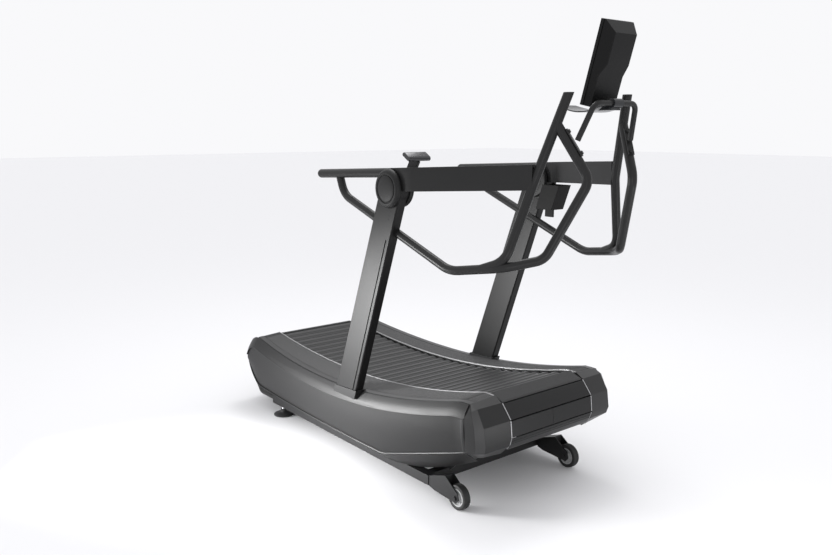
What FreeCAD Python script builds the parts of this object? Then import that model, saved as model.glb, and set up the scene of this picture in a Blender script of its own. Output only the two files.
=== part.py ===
"""Curved manual treadmill: a slatted running belt on a dipped bed, two leaning uprights, a handrail cage of bent
tubes with push horns, a resistance lever, a small console on a tube arch, front wheels and rear levelling feet.

Millimetres. +X points to the console end, +Y to the runner's left, +Z up. The origin is on the floor, at the
middle of the overall length and width. Right-hand pieces are drawn at -Y and the left-hand ones mirrored."""

import FreeCAD, Part
import math
import os
import re

import Sketcher

Vector = FreeCAD.Vector
doc = FreeCAD.newDocument("curved_treadmill")

# ------------------------------------------------------------------------------------------------ driving sizes
SIZES = (
    # running bed
    ("front_drum_x", 668), ("front_drum_z", 368), ("rear_drum_x", -890), ("rear_drum_z", 286),
    ("belt_wrap_radius", 85), ("dip_x", -261), ("dip_z", 328),
    ("belt_half", 222), ("slat_pitch", 57), ("slat_gap", 2.5), ("slat_thick", 16), ("rib_tall", 3.5),
    ("rib_wide", 20), ("carrier_thick", 2), ("roller_radius", 11), ("roller_wide", 9), ("roller_pitch", 66),
    ("roller_clear", 0.4), ("pin_radius", 4),
    ("plate_inner", 228), ("plate_thick", 5), ("plate_end", 46), ("plate_foot_z", 87),
    ("shaft_radius", 12.5), ("shaft_half", 262), ("bearing_radius", 26), ("bearing_wide", 14),
    ("running_clear", 0.05), ("fit_clear", 0.3), ("drum_shell", 9), ("drum_half", 204),
    # brake
    ("disc_radius", 74), ("disc_y", 249), ("disc_thick", 6), ("yoke_pivot_x", 566), ("yoke_pivot_z", 322),
    ("yoke_arm", 5), ("yoke_gap", 13), ("yoke_pin_radius", 6),
    # covers
    ("deck_rear", -1005), ("deck_front", 788), ("bulge_half", 389), ("end_half", 345), ("bulge_x", 9),
    ("ridge_rise", 9), ("trim_wide", 4), ("cover_wall", 4), ("band_out", 25), ("band_drop", 48),
    ("skirt_z", 120), ("belly_z", 73), ("belly_in", 50), ("cap_long", 92), ("panel_gap", 0.05),
    ("rear_mid_z", 262), ("foot_rail_wall", 4),
    # base
    ("base_half", 316), ("base_wide", 40), ("base_tall", 40), ("base_bottom", 47), ("base_rear", -790), ("base_wall", 3),
    ("base_front", 448), ("cross_front", 420), ("cross_mid", -40), ("cross_rear", -700), ("lift_bar_radius", 13),
    ("wheel_x", 602), ("wheel_half", 311), ("wheel_radius", 50), ("rim_radius", 35), ("wheel_wide", 32),
    ("axle_radius", 6), ("bracket_plate", 4), ("bracket_clear", 2),
    ("foot_x", -716), ("foot_radius", 49), ("foot_tall", 12), ("stem_radius", 10),
    # uprights and hubs
    ("hub_x", 316), ("hub_z", 1201), ("hub_radius", 73), ("upright_inner", 373), ("upright_thick", 41),
    ("upright_lean", 20.4), ("upright_half", 71), ("upright_top_half", 65), ("upright_foot_z", 312),
    ("upright_round", 6), ("upright_wall", 5), ("channel_wide", 15), ("channel_deep", 3), ("channel_inset", 9), ("channel_top", 1004),
    ("boot_margin", 7), ("boot_top", 351), ("cap_thick", 27), ("housing_thick", 20),
    # handrails
    ("rail_y", 393), ("rail_slope", 2.75), ("rail_rear", -186), ("rail_tube_radius", 18), ("rail_bar_half", 17),
    ("rail_bar_tall", 86), ("rail_wall", 3), ("rail_bend_x", 437), ("rail_front_x", 853), ("rail_front_y", 218),
    ("tube_radius", 16.5), ("tube_wall", 2.5), ("arch_radius", 9.5), ("arch_half", 108), ("arch_z", 1503),
    ("arch_x", 1009), ("arch_bend", 36), ("bolt_head_radius", 7), ("bolt_head_tall", 5),
    ("horn_x", 938), ("horn_y", 154), ("horn_top", 1537), ("cap_plate", 5),
    ("knee_x", 1007), ("knee_y", 116), ("knee_z", 1253),
    # lever
    ("lever_lean", 32), ("lever_pin_radius", 8), ("lever_reach", 140), ("lever_thick", 12), ("lever_wide", 46), ("grip_half", 52),
    # console
    ("console_x", 920), ("console_z", 1500), ("console_lean", 15.8), ("console_tall", 279), ("console_deep", 54),
    ("console_neck", 36), ("console_half", 78), ("console_back_half", 56), ("bezel_deep", 12),
    ("screen_half", 58), ("screen_low", 112), ("screen_high", 256), ("screen_deep", 3), ("button_radius", 11),
    ("button_z", 62), ("button_step", 44), ("button_proud", 2), ("button_long", 9), ("tray_half", 58),
    ("tray_wall", 4), ("clamp_half", 24),
    # accessory box
    ("box_x", 408), ("box_long", 92), ("box_tall", 104), ("box_wide", 76), ("box_wall", 3), ("box_top", 1189),
)
NAMES = {name for name, number in SIZES}

sheet = doc.addObject("Spreadsheet::Sheet", "sizes")
for row, (name, number) in enumerate(SIZES, 1):
    sheet.set(f"A{row}", name)
    sheet.set(f"B{row}", str(number))
    sheet.setAlias(f"B{row}", name)
doc.recompute()


def size(name):
    """A driving size, read back from the sheet."""
    return float(sheet.get(name))


def tied(text):
    """An expression written with bare size names, as FreeCAD wants it."""
    return re.sub(r"[a-z_]+", lambda word: f"sizes.{word[0]}" if word[0] in NAMES else word[0], str(text))


probe = doc.addObject("Part::Box", "probe")


def number_of(text):
    """What an expression comes to now."""
    return float(probe.evalExpression(tied(text)))


# ------------------------------------------------------------------------------------------- ways to make pieces
nodes = {}


def keep(label, thing):
    """Marks an object as a finished sub-part: its label names its file."""
    thing.Label = label
    nodes[label] = thing
    return thing


def place(thing, x="0", y="0", z="0"):
    for axis, text in zip("xyz", (x, y, z)):
        thing.setExpression(f".Placement.Base.{axis}", tied(text))
    return thing


def box(name, x, y, z):
    """A box from three pairs of low and high expressions."""
    made = doc.addObject("Part::Box", name)
    for side, (low, high) in zip(("Length", "Width", "Height"), (x, y, z)):
        made.setExpression(side, tied(f"({high}) - ({low})"))
    return place(made, x[0], y[0], z[0])


TURNS = {
    "x": FreeCAD.Rotation(Vector(0, 1, 0), 90),
    "y": FreeCAD.Rotation(Vector(1, 0, 0), -90),
    "z": FreeCAD.Rotation(),
}


def cylinder(name, axis, radius, long, x, y, z):
    """A cylinder that starts at a point and runs along +axis."""
    made = doc.addObject("Part::Cylinder", name)
    made.Placement = FreeCAD.Placement(Vector(), TURNS[axis])
    made.setExpression("Radius", tied(radius))
    made.setExpression("Height", tied(long))
    return place(made, x, y, z)


def cut(name, base, *tools):
    """A boolean cut by one or more tools."""
    for step, tool in enumerate(tools, 1):
        made = doc.addObject("Part::Cut", name if step == len(tools) else f"{name}_step_{step}")
        made.Base = base
        made.Tool = tool
        base = made
    return base


def fuse(name, *things):
    made = doc.addObject("Part::MultiFuse", name)
    made.Shapes = list(things)
    made.Refine = True
    return made


def common(name, one, other):
    made = doc.addObject("Part::Common", name)
    made.Base = one
    made.Tool = other
    return made


def group(name, *things):
    """Separate solids held in one sub-part."""
    made = doc.addObject("Part::Compound", name)
    made.Links = list(things)
    return made


def mirrored(name, source):
    """The left-hand copy of a right-hand piece."""
    made = doc.addObject("Part::Mirroring", name)
    made.Source = source
    made.Normal = Vector(0, 1, 0)
    return made


def pair(stem, source):
    """Keeps a right-hand piece and its mirrored left-hand one."""
    keep(f"{stem}_right", source)
    keep(f"{stem}_left", mirrored(f"{stem}_left", source))


def plain_shape(name, shape):
    """A shape worked out with Part's own functions, where no feature makes it."""
    made = doc.addObject("Part::Feature", name)
    made.Shape = shape
    return made


def sketch(body, name, role, points):
    """A closed outline of straight lines on one of the body's planes, each corner tied to its expressions."""
    made = body.newObject("Sketcher::SketchObject", name)
    plane = next(item for item in body.Origin.OriginFeatures if item.Role == role)
    made.AttachmentSupport = (plane, "")
    made.MapMode = "FlatFace"
    corners = [Vector(number_of(across), number_of(up), 0) for across, up in points]
    count = len(corners)
    for step in range(count):
        made.addGeometry(Part.LineSegment(corners[step], corners[(step + 1) % count]))
    for step in range(count):
        made.addConstraint(Sketcher.Constraint("Coincident", step, 2, (step + 1) % count, 1))
    for step, (across, up) in enumerate(points):
        for kind, start, text in (("DistanceX", corners[step].x, across), ("DistanceY", corners[step].y, up)):
            where = made.addConstraint(Sketcher.Constraint(kind, -1, 1, step, 1, start))
            made.setExpression(f"Constraints[{where}]", tied(text))
    return made


def round_sketch(body, name, role, across, up, radius):
    """A circle on one of the body's planes."""
    made = body.newObject("Sketcher::SketchObject", name)
    plane = next(item for item in body.Origin.OriginFeatures if item.Role == role)
    made.AttachmentSupport = (plane, "")
    made.MapMode = "FlatFace"
    centre = Vector(number_of(across), number_of(up), 0)
    made.addGeometry(Part.Circle(centre, Vector(0, 0, 1), number_of(radius)))
    for kind, start, text in (("DistanceX", centre.x, across), ("DistanceY", centre.y, up)):
        where = made.addConstraint(Sketcher.Constraint(kind, -1, 1, 0, 3, start))
        made.setExpression(f"Constraints[{where}]", tied(text))
    where = made.addConstraint(Sketcher.Constraint("Radius", 0, number_of(radius)))
    made.setExpression(f"Constraints[{where}]", tied(radius))
    return made


def pad(body, profile, long):
    """A pad to both sides of its sketch plane."""
    made = body.newObject("PartDesign::Pad", f"{profile.Name}_pad")
    made.Profile = profile
    made.SideType = "Symmetric"
    made.setExpression("Length", tied(long))
    return made


def pocket(body, profile, deep):
    """A pocket to both sides of its sketch plane."""
    doc.recompute()
    made = body.newObject("PartDesign::Pocket", f"{profile.Name}_pocket")
    made.Profile = profile
    made.SideType = "Symmetric"
    made.setExpression("Length", tied(deep))
    return made


def padded(name, role, points, long, x="0", y="0", z="0"):
    """A body with one padded outline, moved to its place."""
    body = doc.addObject("PartDesign::Body", name)
    pad(body, sketch(body, f"{name}_outline", role, points), long)
    return place(body, x, y, z)


def turned(name, points, x="0", y="0", z="0"):
    """A body of revolution about its own Y axis: points are radius and y."""
    body = doc.addObject("PartDesign::Body", name)
    profile = sketch(body, f"{name}_outline", "XY_Plane", points)
    made = body.newObject("PartDesign::Revolution", f"{name}_turn")
    made.Profile = profile
    made.ReferenceAxis = (profile, ["V_Axis"])
    made.Angle = 360
    return place(body, x, y, z)


def bent_path(points, radii):
    """Straight runs joined by tangent arcs: one bend radius for each inner point."""
    edges = []
    start = points[0]
    for before, corner, after, radius in zip(points, points[1:], points[2:], radii):
        arriving = (corner - before).normalize()
        leaving = (after - corner).normalize()
        turn = arriving.getAngle(leaving)
        set_back = radius * math.tan(turn / 2)
        bend_start = corner - arriving * set_back
        bend_end = corner + leaving * set_back
        inward = (leaving - arriving).normalize()
        centre = corner + inward * (radius / math.cos(turn / 2))
        edges.append(Part.LineSegment(start, bend_start).toShape())
        edges.append(Part.Arc(bend_start, centre - inward * radius, bend_end).toShape())
        start = bend_end
    edges.append(Part.LineSegment(start, points[-1]).toShape())
    return Part.Wire(edges)


def swept(name, spine, radius):
    """A solid round bar along a path: its section is a circle tied to the sheet."""
    first = spine.Shape.Edges[0]
    ring = doc.addObject("Part::Circle", f"{name}_section")
    ring.Placement = FreeCAD.Placement(
        first.firstVertex().Point, FreeCAD.Rotation(Vector(0, 0, 1), first.tangentAt(first.FirstParameter))
    )
    ring.setExpression("Radius", tied(radius))
    made = doc.addObject("Part::Sweep", name)
    made.Sections = [ring]
    made.Spine = (spine, [f"Edge{count + 1}" for count in range(len(spine.Shape.Edges))])
    made.Solid = True
    made.Frenet = True
    return made


# ------------------------------------------------------------------------------------------ running surface shape
DRUM_FRONT = Vector(size("front_drum_x"), 0, size("front_drum_z"))
DRUM_REAR = Vector(size("rear_drum_x"), 0, size("rear_drum_z"))
DIP = Vector(size("dip_x"), 0, size("dip_z"))
WRAP = size("belt_wrap_radius")


def bed_radius(drum):
    """The radius of the bed arc that is level at the dip and runs tangent onto a drum's wrap."""
    away = drum.x - DIP.x
    rise = drum.z - DIP.z
    return (away**2 + rise**2 - WRAP**2) / (2 * (rise + WRAP))


BED = {1: bed_radius(DRUM_FRONT), -1: bed_radius(DRUM_REAR)}


def crest(side, sink=0.0):
    """Where the bed arc, lowered by sink, meets the wrap of the front (1) or rear (-1) drum."""
    drum = DRUM_FRONT if side > 0 else DRUM_REAR
    centre = DIP + Vector(0, 0, BED[side])
    return centre + (drum - centre).normalize() * (BED[side] + sink)


def bed_height(x, sink=0.0):
    """Height of the running surface, lowered by sink along its normal, at a place along the bed."""
    side = 1 if x > DIP.x else -1
    low = crest(-1, sink).x
    high = crest(1, sink).x
    x = min(max(x, low), high)
    radius = BED[side] + sink
    return DIP.z + BED[side] - math.sqrt(radius**2 - (x - DIP.x) ** 2)


def bed_point(x, sink=0.0):
    return Vector(x, 0, bed_height(x, sink))


def bed_arc(start_x, end_x, sink=0.0):
    """One circular stretch of the bed between two places on the same side of the dip."""
    middle = (start_x + end_x) / 2
    return Part.Arc(bed_point(start_x, sink), bed_point(middle, sink), bed_point(end_x, sink)).toShape()


def belt_loop(sink):
    """The closed path of the belt, lowered by sink: under, round the front drum, over the bed, round the rear."""
    radius = WRAP - sink
    run = (DRUM_FRONT - DRUM_REAR).normalize()
    down = Vector(run.z, 0, -run.x) * radius
    front_top = crest(1, sink)
    rear_top = crest(-1, sink)
    lowest = DIP - Vector(0, 0, sink)
    return [
        Part.LineSegment(DRUM_REAR + down, DRUM_FRONT + down).toShape(),
        Part.Arc(DRUM_FRONT + down, DRUM_FRONT + Vector(radius, 0, 0), front_top).toShape(),
        Part.Arc(front_top, bed_point((front_top.x + DIP.x) / 2, sink), lowest).toShape(),
        Part.Arc(lowest, bed_point((rear_top.x + DIP.x) / 2, sink), rear_top).toShape(),
        Part.Arc(rear_top, DRUM_REAR - Vector(radius, 0, 0), DRUM_REAR + down).toShape(),
    ]


def half_width(x):
    """Half the width of the covers: widest by the uprights, drawn in towards both ends."""
    end = size("deck_front") if x > size("bulge_x") else size("deck_rear")
    share = (x - size("bulge_x")) / (end - size("bulge_x"))
    return size("bulge_half") - (size("bulge_half") - size("end_half")) * share**2


# --------------------------------------------------------------------------------------------------- slatted belt
def slat_belt():
    """Ribbed slats, each a bar across the bed, laid one by one round the belt's path."""
    half = size("belt_half")
    ribs = size("slat_thick") - size("rib_tall")
    full = size("slat_thick")
    edges = belt_loop(full)
    total = sum(edge.Length for edge in edges)
    count = round(total / size("slat_pitch"))
    pitch = total / count
    wide = (pitch - size("slat_gap")) / 2
    rib = size("rib_wide") / 2
    outline = [(-wide, 0), (wide, 0), (wide, ribs - 1), (rib + 5, ribs), (rib, full), (-rib, full),
               (-rib - 5, ribs), (-wide, ribs - 1)]
    slats = []
    for step in range(count):
        along = (step + 0.5) * pitch
        for edge in edges:
            if along <= edge.Length:
                break
            along -= edge.Length
        spot = edge.getParameterByLength(along)
        middle = edge.valueAt(spot)
        ahead = edge.tangentAt(spot)
        outward = Vector(ahead.z, 0, -ahead.x)
        corners = [middle + ahead * across + outward * up - Vector(0, half, 0) for across, up in outline]
        face = Part.Face(Part.makePolygon(corners + corners[:1]))
        slats.append(face.extrude(Vector(0, 2 * half, 0)))
    return Part.Compound(slats)


keep("slat_belt", plain_shape("slat_belt", slat_belt()))


def guide_rollers():
    """Small bearings on stub pins, in a row under each end of the slats."""
    reach = size("plate_inner")
    rollers = []
    sink = size("slat_thick") + size("roller_clear") + size("roller_radius")
    start = size("rear_drum_x") + WRAP
    count = int((size("front_drum_x") - WRAP - start) // size("roller_pitch")) + 1
    for step in range(count):
        spot = bed_point(start + step * size("roller_pitch"), sink)
        for side in (-1, 1):
            outward = Vector(0, side, 0)
            inner = spot + outward * (size("belt_half") - 8 - size("roller_wide"))
            roller = Part.makeCylinder(size("roller_radius"), size("roller_wide"), inner, outward)
            tail = inner + outward * size("roller_wide")
            pin = Part.makeCylinder(size("pin_radius"), reach - abs(tail.y), tail, outward)
            rollers.append(roller.fuse(pin))
    return Part.Compound(rollers)


keep("guide_rollers", plain_shape("guide_rollers", guide_rollers()))


# ------------------------------------------------------------------------------------------ side plates and drums
def deck_plate():
    """The steel side plate: its top edge follows the bed, its foot stands on the cross tubes."""
    front = size("front_drum_x")
    rear = size("rear_drum_x")
    low = size("plate_foot_z")
    end = size("plate_end")
    seat = -size("ridge_rise") + size("foot_rail_wall") + 12 * size("fit_clear")
    front_top = bed_point(crest(1, seat).x, seat)
    rear_top = bed_point(crest(-1, seat).x, seat)
    lowest = bed_point(DIP.x, seat)
    edges = [bed_arc(rear_top.x, DIP.x, seat), bed_arc(DIP.x, front_top.x, seat)]
    edges[0] = Part.Arc(rear_top, bed_point((rear_top.x + DIP.x) / 2, seat), lowest).toShape()
    corners = [
        front_top,
        Vector(front + end, 0, size("front_drum_z") + end / 2),
        Vector(front + end, 0, size("front_drum_z") - end),
        Vector(size("cross_front") + size("base_tall"), 0, low),
        Vector(size("cross_rear") - size("base_tall"), 0, low),
        Vector(rear - end, 0, size("rear_drum_z") - end),
        Vector(rear - end, 0, size("rear_drum_z") + end / 2),
        rear_top,
    ]
    edges += [Part.LineSegment(one, two).toShape() for one, two in zip(corners, corners[1:])]
    face = Part.Face(Part.Wire(Part.__sortEdges__(edges)))
    face.translate(Vector(0, -size("plate_inner"), 0))
    return face.extrude(Vector(0, -size("plate_thick"), 0))


plate_blank = plain_shape("plate_blank", deck_plate())
bearing_low = "-(plate_inner + plate_thick / 2 + bearing_wide / 2)"
bearing_holes = [
    cylinder(f"{end}_bearing_hole", "y", "bearing_radius", "bearing_wide", f"{end}_drum_x", bearing_low,
             f"{end}_drum_z")
    for end in ("front", "rear")
]
plate_right = cut("deck_plate_right", plate_blank, *bearing_holes)
keep("deck_plate_right", plate_right)
yoke_hole = cylinder("yoke_hole", "y", "yoke_pin_radius + running_clear", "plate_thick", "yoke_pivot_x",
                     "plate_inner", "yoke_pivot_z")
keep("deck_plate_left", cut("deck_plate_left", mirrored("plate_mirror", plate_right), yoke_hole))

bearings = []
for end in ("front", "rear"):
    ring = turned(
        f"{end}_bearing",
        [("shaft_radius + running_clear", "-bearing_wide / 2"), ("bearing_radius", "-bearing_wide / 2"),
         ("bearing_radius", "bearing_wide / 2"), ("shaft_radius + running_clear", "bearing_wide / 2")],
        f"{end}_drum_x", "-(plate_inner + plate_thick / 2)", f"{end}_drum_z",
    )
    bearings += [ring, mirrored(f"{end}_bearing_left", ring)]
keep("drum_bearings", group("drum_bearings", *bearings))

for end in ("front", "rear"):
    shell = "belt_wrap_radius - slat_thick - carrier_thick"
    hollow = f"{shell} - drum_shell"
    keep(f"{end}_drum", turned(
        f"{end}_drum",
        [("0", "-shaft_half"), ("shaft_radius", "-shaft_half"), ("shaft_radius", "-drum_shell"),
         (hollow, "-drum_shell"), (hollow, "-drum_half"), (shell, "-drum_half"), (shell, "drum_half"),
         (hollow, "drum_half"), (hollow, "drum_shell"), ("shaft_radius", "drum_shell"),
         ("shaft_radius", "shaft_half"), ("0", "shaft_half")],
        f"{end}_drum_x", "0", f"{end}_drum_z",
    ))

keep("brake_disc", turned(
    "brake_disc",
    [("shaft_radius", "-disc_thick / 2"), ("disc_radius", "-disc_thick / 2"), ("disc_radius", "disc_thick / 2"),
     ("shaft_radius", "disc_thick / 2")],
    "front_drum_x", "disc_y", "front_drum_z",
))

# The brake yoke straddles the disc's rear edge and swings on a pin in the left side plate.
yoke = doc.addObject("PartDesign::Body", "magnet_yoke")
pad(yoke, sketch(yoke, "yoke_outline", "XZ_Plane",
                 [("-16", "-16"), ("20", "-16"), ("56", "14"), ("56", "66"), ("30", "66"), ("-16", "16")]),
    "yoke_gap + 2 * yoke_arm")
pocket(yoke, sketch(yoke, "yoke_slot", "XZ_Plane", [("14", "-30"), ("80", "-30"), ("80", "90"), ("14", "90")]),
       "yoke_gap")
place(yoke, "yoke_pivot_x", "disc_y", "yoke_pivot_z")
yoke_pin = cylinder("yoke_pin", "y", "yoke_pin_radius",
                    "disc_y - plate_inner - 2", "yoke_pivot_x", "plate_inner + 1", "yoke_pivot_z")
keep("magnet_yoke", fuse("magnet_yoke_whole", yoke, yoke_pin))


# --------------------------------------------------------------------------------------------------------- base
base_low = "base_half - base_wide / 2"
base_high = "base_half + base_wide / 2"
rail_solid = box("base_rail_solid", ("base_rear", "base_front"), (f"-({base_high})", f"-({base_low})"),
                 ("base_bottom", "base_bottom + base_tall"))
stem_hole = cylinder("stem_hole", "z", "stem_radius + running_clear", "base_tall", "foot_x", "-base_half",
                     "base_bottom")
rail_bore = box("base_rail_bore", ("base_rear", "base_front"),
                (f"-({base_high} - base_wall)", f"-({base_low} + base_wall)"),
                ("base_bottom + base_wall", "base_bottom + base_tall - base_wall"))
pair("base_rail", cut("base_rail_right", rail_solid, stem_hole, rail_bore))

cross_tubes = []
for spot in ("front", "mid", "rear"):
    outer = box(f"cross_{spot}_outer", (f"cross_{spot} - base_tall / 2", f"cross_{spot} + base_tall / 2"),
                (f"-({base_low})", base_low), ("base_bottom", "base_bottom + base_tall"))
    inner = box(f"cross_{spot}_inner", (f"cross_{spot} - base_tall / 2 + 3", f"cross_{spot} + base_tall / 2 - 3"),
                (f"-({base_low})", base_low), ("base_bottom + 3", "base_bottom + base_tall - 3"))
    cross_tubes.append(cut(f"cross_{spot}_tube", outer, inner))
keep("base_cross_tubes", group("base_cross_tubes", *cross_tubes))

# The lift handle across the tail: a bent bar whose ends run forward to the base rails.
handle_y = size("base_half")
handle_z = size("base_bottom") + size("base_tall") / 2
handle_x = size("deck_rear") - 33.1 + size("lift_bar_radius")
handle_spine = plain_shape("handle_spine", bent_path(
    [Vector(size("base_rear"), -handle_y, handle_z), Vector(handle_x + 90, -handle_y, handle_z),
     Vector(handle_x, -handle_y + 20, handle_z + 45), Vector(handle_x, handle_y - 20, handle_z + 45),
     Vector(handle_x + 90, handle_y, handle_z), Vector(size("base_rear"), handle_y, handle_z)],
    (60, 40, 40, 60),
))
keep("rear_handle", swept("rear_handle", handle_spine, "lift_bar_radius"))

# Front wheels: a forked bracket on each base rail, an axle bolt, a rim with round windows and a rubber tyre.
fork_half = "wheel_wide / 2 + bracket_clear + bracket_plate"
fork = doc.addObject("PartDesign::Body", "fork")
pad(fork, sketch(fork, "fork_outline", "XZ_Plane",
                 [("base_front", "base_bottom"), ("base_front + 30", "base_bottom - 8"),
                  ("wheel_x + 4", "wheel_radius - 20"), ("wheel_x + 20", "wheel_radius - 4"),
                  ("wheel_x + 14", "wheel_radius + 20"), ("base_front + 96", "base_bottom + base_tall + 34"),
                  ("base_front", "base_bottom + base_tall")]), f"2 * ({fork_half})")
pocket(fork, sketch(fork, "fork_slot", "XZ_Plane",
                    [("wheel_x - wheel_radius - 6", "-20"), ("wheel_x + 90", "-20"), ("wheel_x + 90", "200"),
                     ("wheel_x - wheel_radius - 6", "200")]), "wheel_wide + 2 * bracket_clear")
pocket(fork, round_sketch(fork, "fork_bore", "XZ_Plane", "wheel_x", "wheel_radius",
                          "axle_radius + running_clear"), f"2 * ({fork_half}) + 4")
place(fork, "0", "-wheel_half", "0")
pair("wheel_bracket", fork)

bolts = []
bolt = turned(
    "axle_bolt",
    [("0", f"-({fork_half}) - 6"), ("10", f"-({fork_half}) - 6"), ("10", f"-({fork_half})"),
     ("axle_radius", f"-({fork_half})"), ("axle_radius", fork_half), ("10", fork_half),
     ("10", f"{fork_half} + 8"), ("0", f"{fork_half} + 8")],
    "wheel_x", "-wheel_half", "wheel_radius",
)
keep("axle_bolts", group("axle_bolts", bolt, mirrored("axle_bolt_left", bolt)))

rim = doc.addObject("PartDesign::Body", "rim")
rim_profile = sketch(rim, "rim_profile", "XY_Plane",
                     [("axle_radius + running_clear", "-wheel_wide / 2"), ("14", "-wheel_wide / 2"), ("17", "-5"),
                      ("rim_radius - 6", "-5"), ("rim_radius - 4", "-wheel_wide / 2 + 2"),
                      ("rim_radius", "-wheel_wide / 2 + 2"), ("rim_radius", "wheel_wide / 2 - 2"),
                      ("rim_radius - 4", "wheel_wide / 2 - 2"), ("rim_radius - 6", "5"), ("17", "5"),
                      ("14", "wheel_wide / 2"), ("axle_radius + running_clear", "wheel_wide / 2")])
rim_turn = rim.newObject("PartDesign::Revolution", "rim_turn")
rim_turn.Profile = rim_profile
rim_turn.ReferenceAxis = (rim_profile, ["V_Axis"])
rim_turn.Angle = 360
window = pocket(rim, round_sketch(rim, "rim_window", "XZ_Plane", "(rim_radius + 11) / 2", "0", "3.6"), "30")
windows = rim.newObject("PartDesign::PolarPattern", "rim_windows")
windows.Originals = [window]
windows.Axis = (next(item for item in rim.Origin.OriginFeatures if item.Role == "Y_Axis"), [""])
windows.Angle = 360
windows.Occurrences = 8
rim.Tip = windows
place(rim, "wheel_x", "-wheel_half", "wheel_radius")
pair("wheel_rim", rim)

pair("wheel_tyre", turned(
    "tyre",
    [("rim_radius", "-wheel_wide / 2 + 2"), ("rim_radius + 4", "-wheel_wide / 2"),
     ("wheel_radius - 4", "-wheel_wide / 2"), ("wheel_radius", "-wheel_wide / 2 + 5"),
     ("wheel_radius", "wheel_wide / 2 - 5"), ("wheel_radius - 4", "wheel_wide / 2"),
     ("rim_radius + 4", "wheel_wide / 2"), ("rim_radius", "wheel_wide / 2 - 2")],
    "wheel_x", "-wheel_half", "wheel_radius",
))

# Levelling feet: a domed pad with its lock nut, on a stem that screws up into the base rail.
foot = doc.addObject("PartDesign::Body", "level_foot")
foot_profile = sketch(foot, "foot_profile", "XZ_Plane",
                      [("0", "0"), ("foot_radius", "0"), ("foot_radius", "foot_tall - 5"),
                       ("foot_radius - 8", "foot_tall"), ("19", "foot_tall + 4"), ("15", "foot_tall + 9"), ("15", "foot_tall + 20"),
                       ("stem_radius", "foot_tall + 20"), ("stem_radius", "base_bottom + base_tall - 4"),
                       ("0", "base_bottom + base_tall - 4")])
foot_turn = foot.newObject("PartDesign::Revolution", "foot_turn")
foot_turn.Profile = foot_profile
foot_turn.ReferenceAxis = (foot_profile, ["V_Axis"])
foot_turn.Angle = 360
place(foot, "foot_x", "-base_half", "0")
pair("level_foot", foot)


# ------------------------------------------------------------------------------------------------------- covers
def tail_share(x):
    """0 at the rear drum, 1 at the deck's tail."""
    return min(max((size("rear_drum_x") - x) / (size("rear_drum_x") - size("deck_rear")), 0.0), 1.0)


def ridge_height(x):
    """The outer edge of the foot rail: level with the belt, rounded down to the tail's middle height."""
    top = bed_height(x)
    return size("rear_mid_z") + (top - size("rear_mid_z")) * math.sqrt(max(1 - tail_share(x) ** 2, 0.0))


def belly_height(x):
    """The lowest edge of the side covers: level along the base, swept up to the nose and the tail."""
    low = size("belly_z")
    nose_start = size("bulge_x") + 190
    tail_start = size("deck_rear") + 255
    if x > nose_start:
        share = (x - nose_start) / (size("deck_front") - 55 - nose_start)
        return low + 170 * share**1.7
    if x < tail_start:
        share = (tail_start - x) / (tail_start - size("deck_rear"))
        rise = size("rear_mid_z") - 8 - low
        return low + 0.1 * rise * share + 0.9 * rise * (1 - math.sqrt(1 - min(share, 1.0) ** 2))
    return low


def skirt_height(x):
    """The foot of the side panel, above the belly."""
    start = size("bulge_x") + 220
    high = size("skirt_z")
    if x > start:
        return high + 148 * (x - start) / (size("deck_front") - 92 - start)
    return max(high, belly_height(x) + 14)


def side_section(x):
    """The skin's section across the bed: ridge, crease, side panel and belly, then back along the inside."""
    wall = size("cover_wall")
    ridge = half_width(x)
    ridge_z = ridge_height(x)
    belly_z = belly_height(x)
    drop = min(size("band_drop"), 0.42 * (ridge_z - belly_z))
    skirt_z = min(skirt_height(x), ridge_z - drop - 8)
    crease = ridge + size("band_out") * min(1.0, drop / 30)
    skirt = ridge + 12
    belly = ridge - size("belly_in")
    points = [
        (ridge, ridge_z), (crease, ridge_z - drop), (skirt, skirt_z), (belly, belly_z),
        (belly - 1, belly_z + wall), (skirt - wall, skirt_z + wall / 2),
        (crease - wall, ridge_z - drop - wall / 3), (ridge - wall, ridge_z - wall),
    ]
    corners = [Vector(x, -across, up) for across, up in points]
    return Part.makePolygon(corners + corners[:1])


def side_fairing():
    """The barrel-sided cover, lofted through sections along the deck."""
    front = size("deck_front") - size("cap_long")
    rear = size("deck_rear") + 5
    tail = size("rear_drum_x")
    stations = [rear + (tail - rear) * (1 - math.cos(math.pi / 2 * step / 8)) for step in range(8)]
    stations += [tail + (front - tail) * step / 24 for step in range(25)]
    return Part.makeLoft([side_section(x) for x in stations], True, True)


fairing_blank = plain_shape("fairing_blank", side_fairing())

lean = f"tan(upright_lean)"
boot_inner = "upright_inner - 7"
boot_outer = "upright_inner + upright_thick + 4"


def leaning(shift, height):
    """X of a line parallel to the upright's middle line."""
    return f"hub_x - (hub_z - ({height})) * {lean} + ({shift})"


def boot_outline(grow, low, rear_top, front_top):
    """The foot of the upright seen from the side, with a margin all round."""
    reach = f"upright_half + boot_margin + ({grow})"
    return [(leaning(f"-({reach})", low), low), (leaning(reach, low), low),
            (leaning(reach, front_top), front_top), (leaning(f"-({reach})", rear_top), rear_top)]


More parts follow.
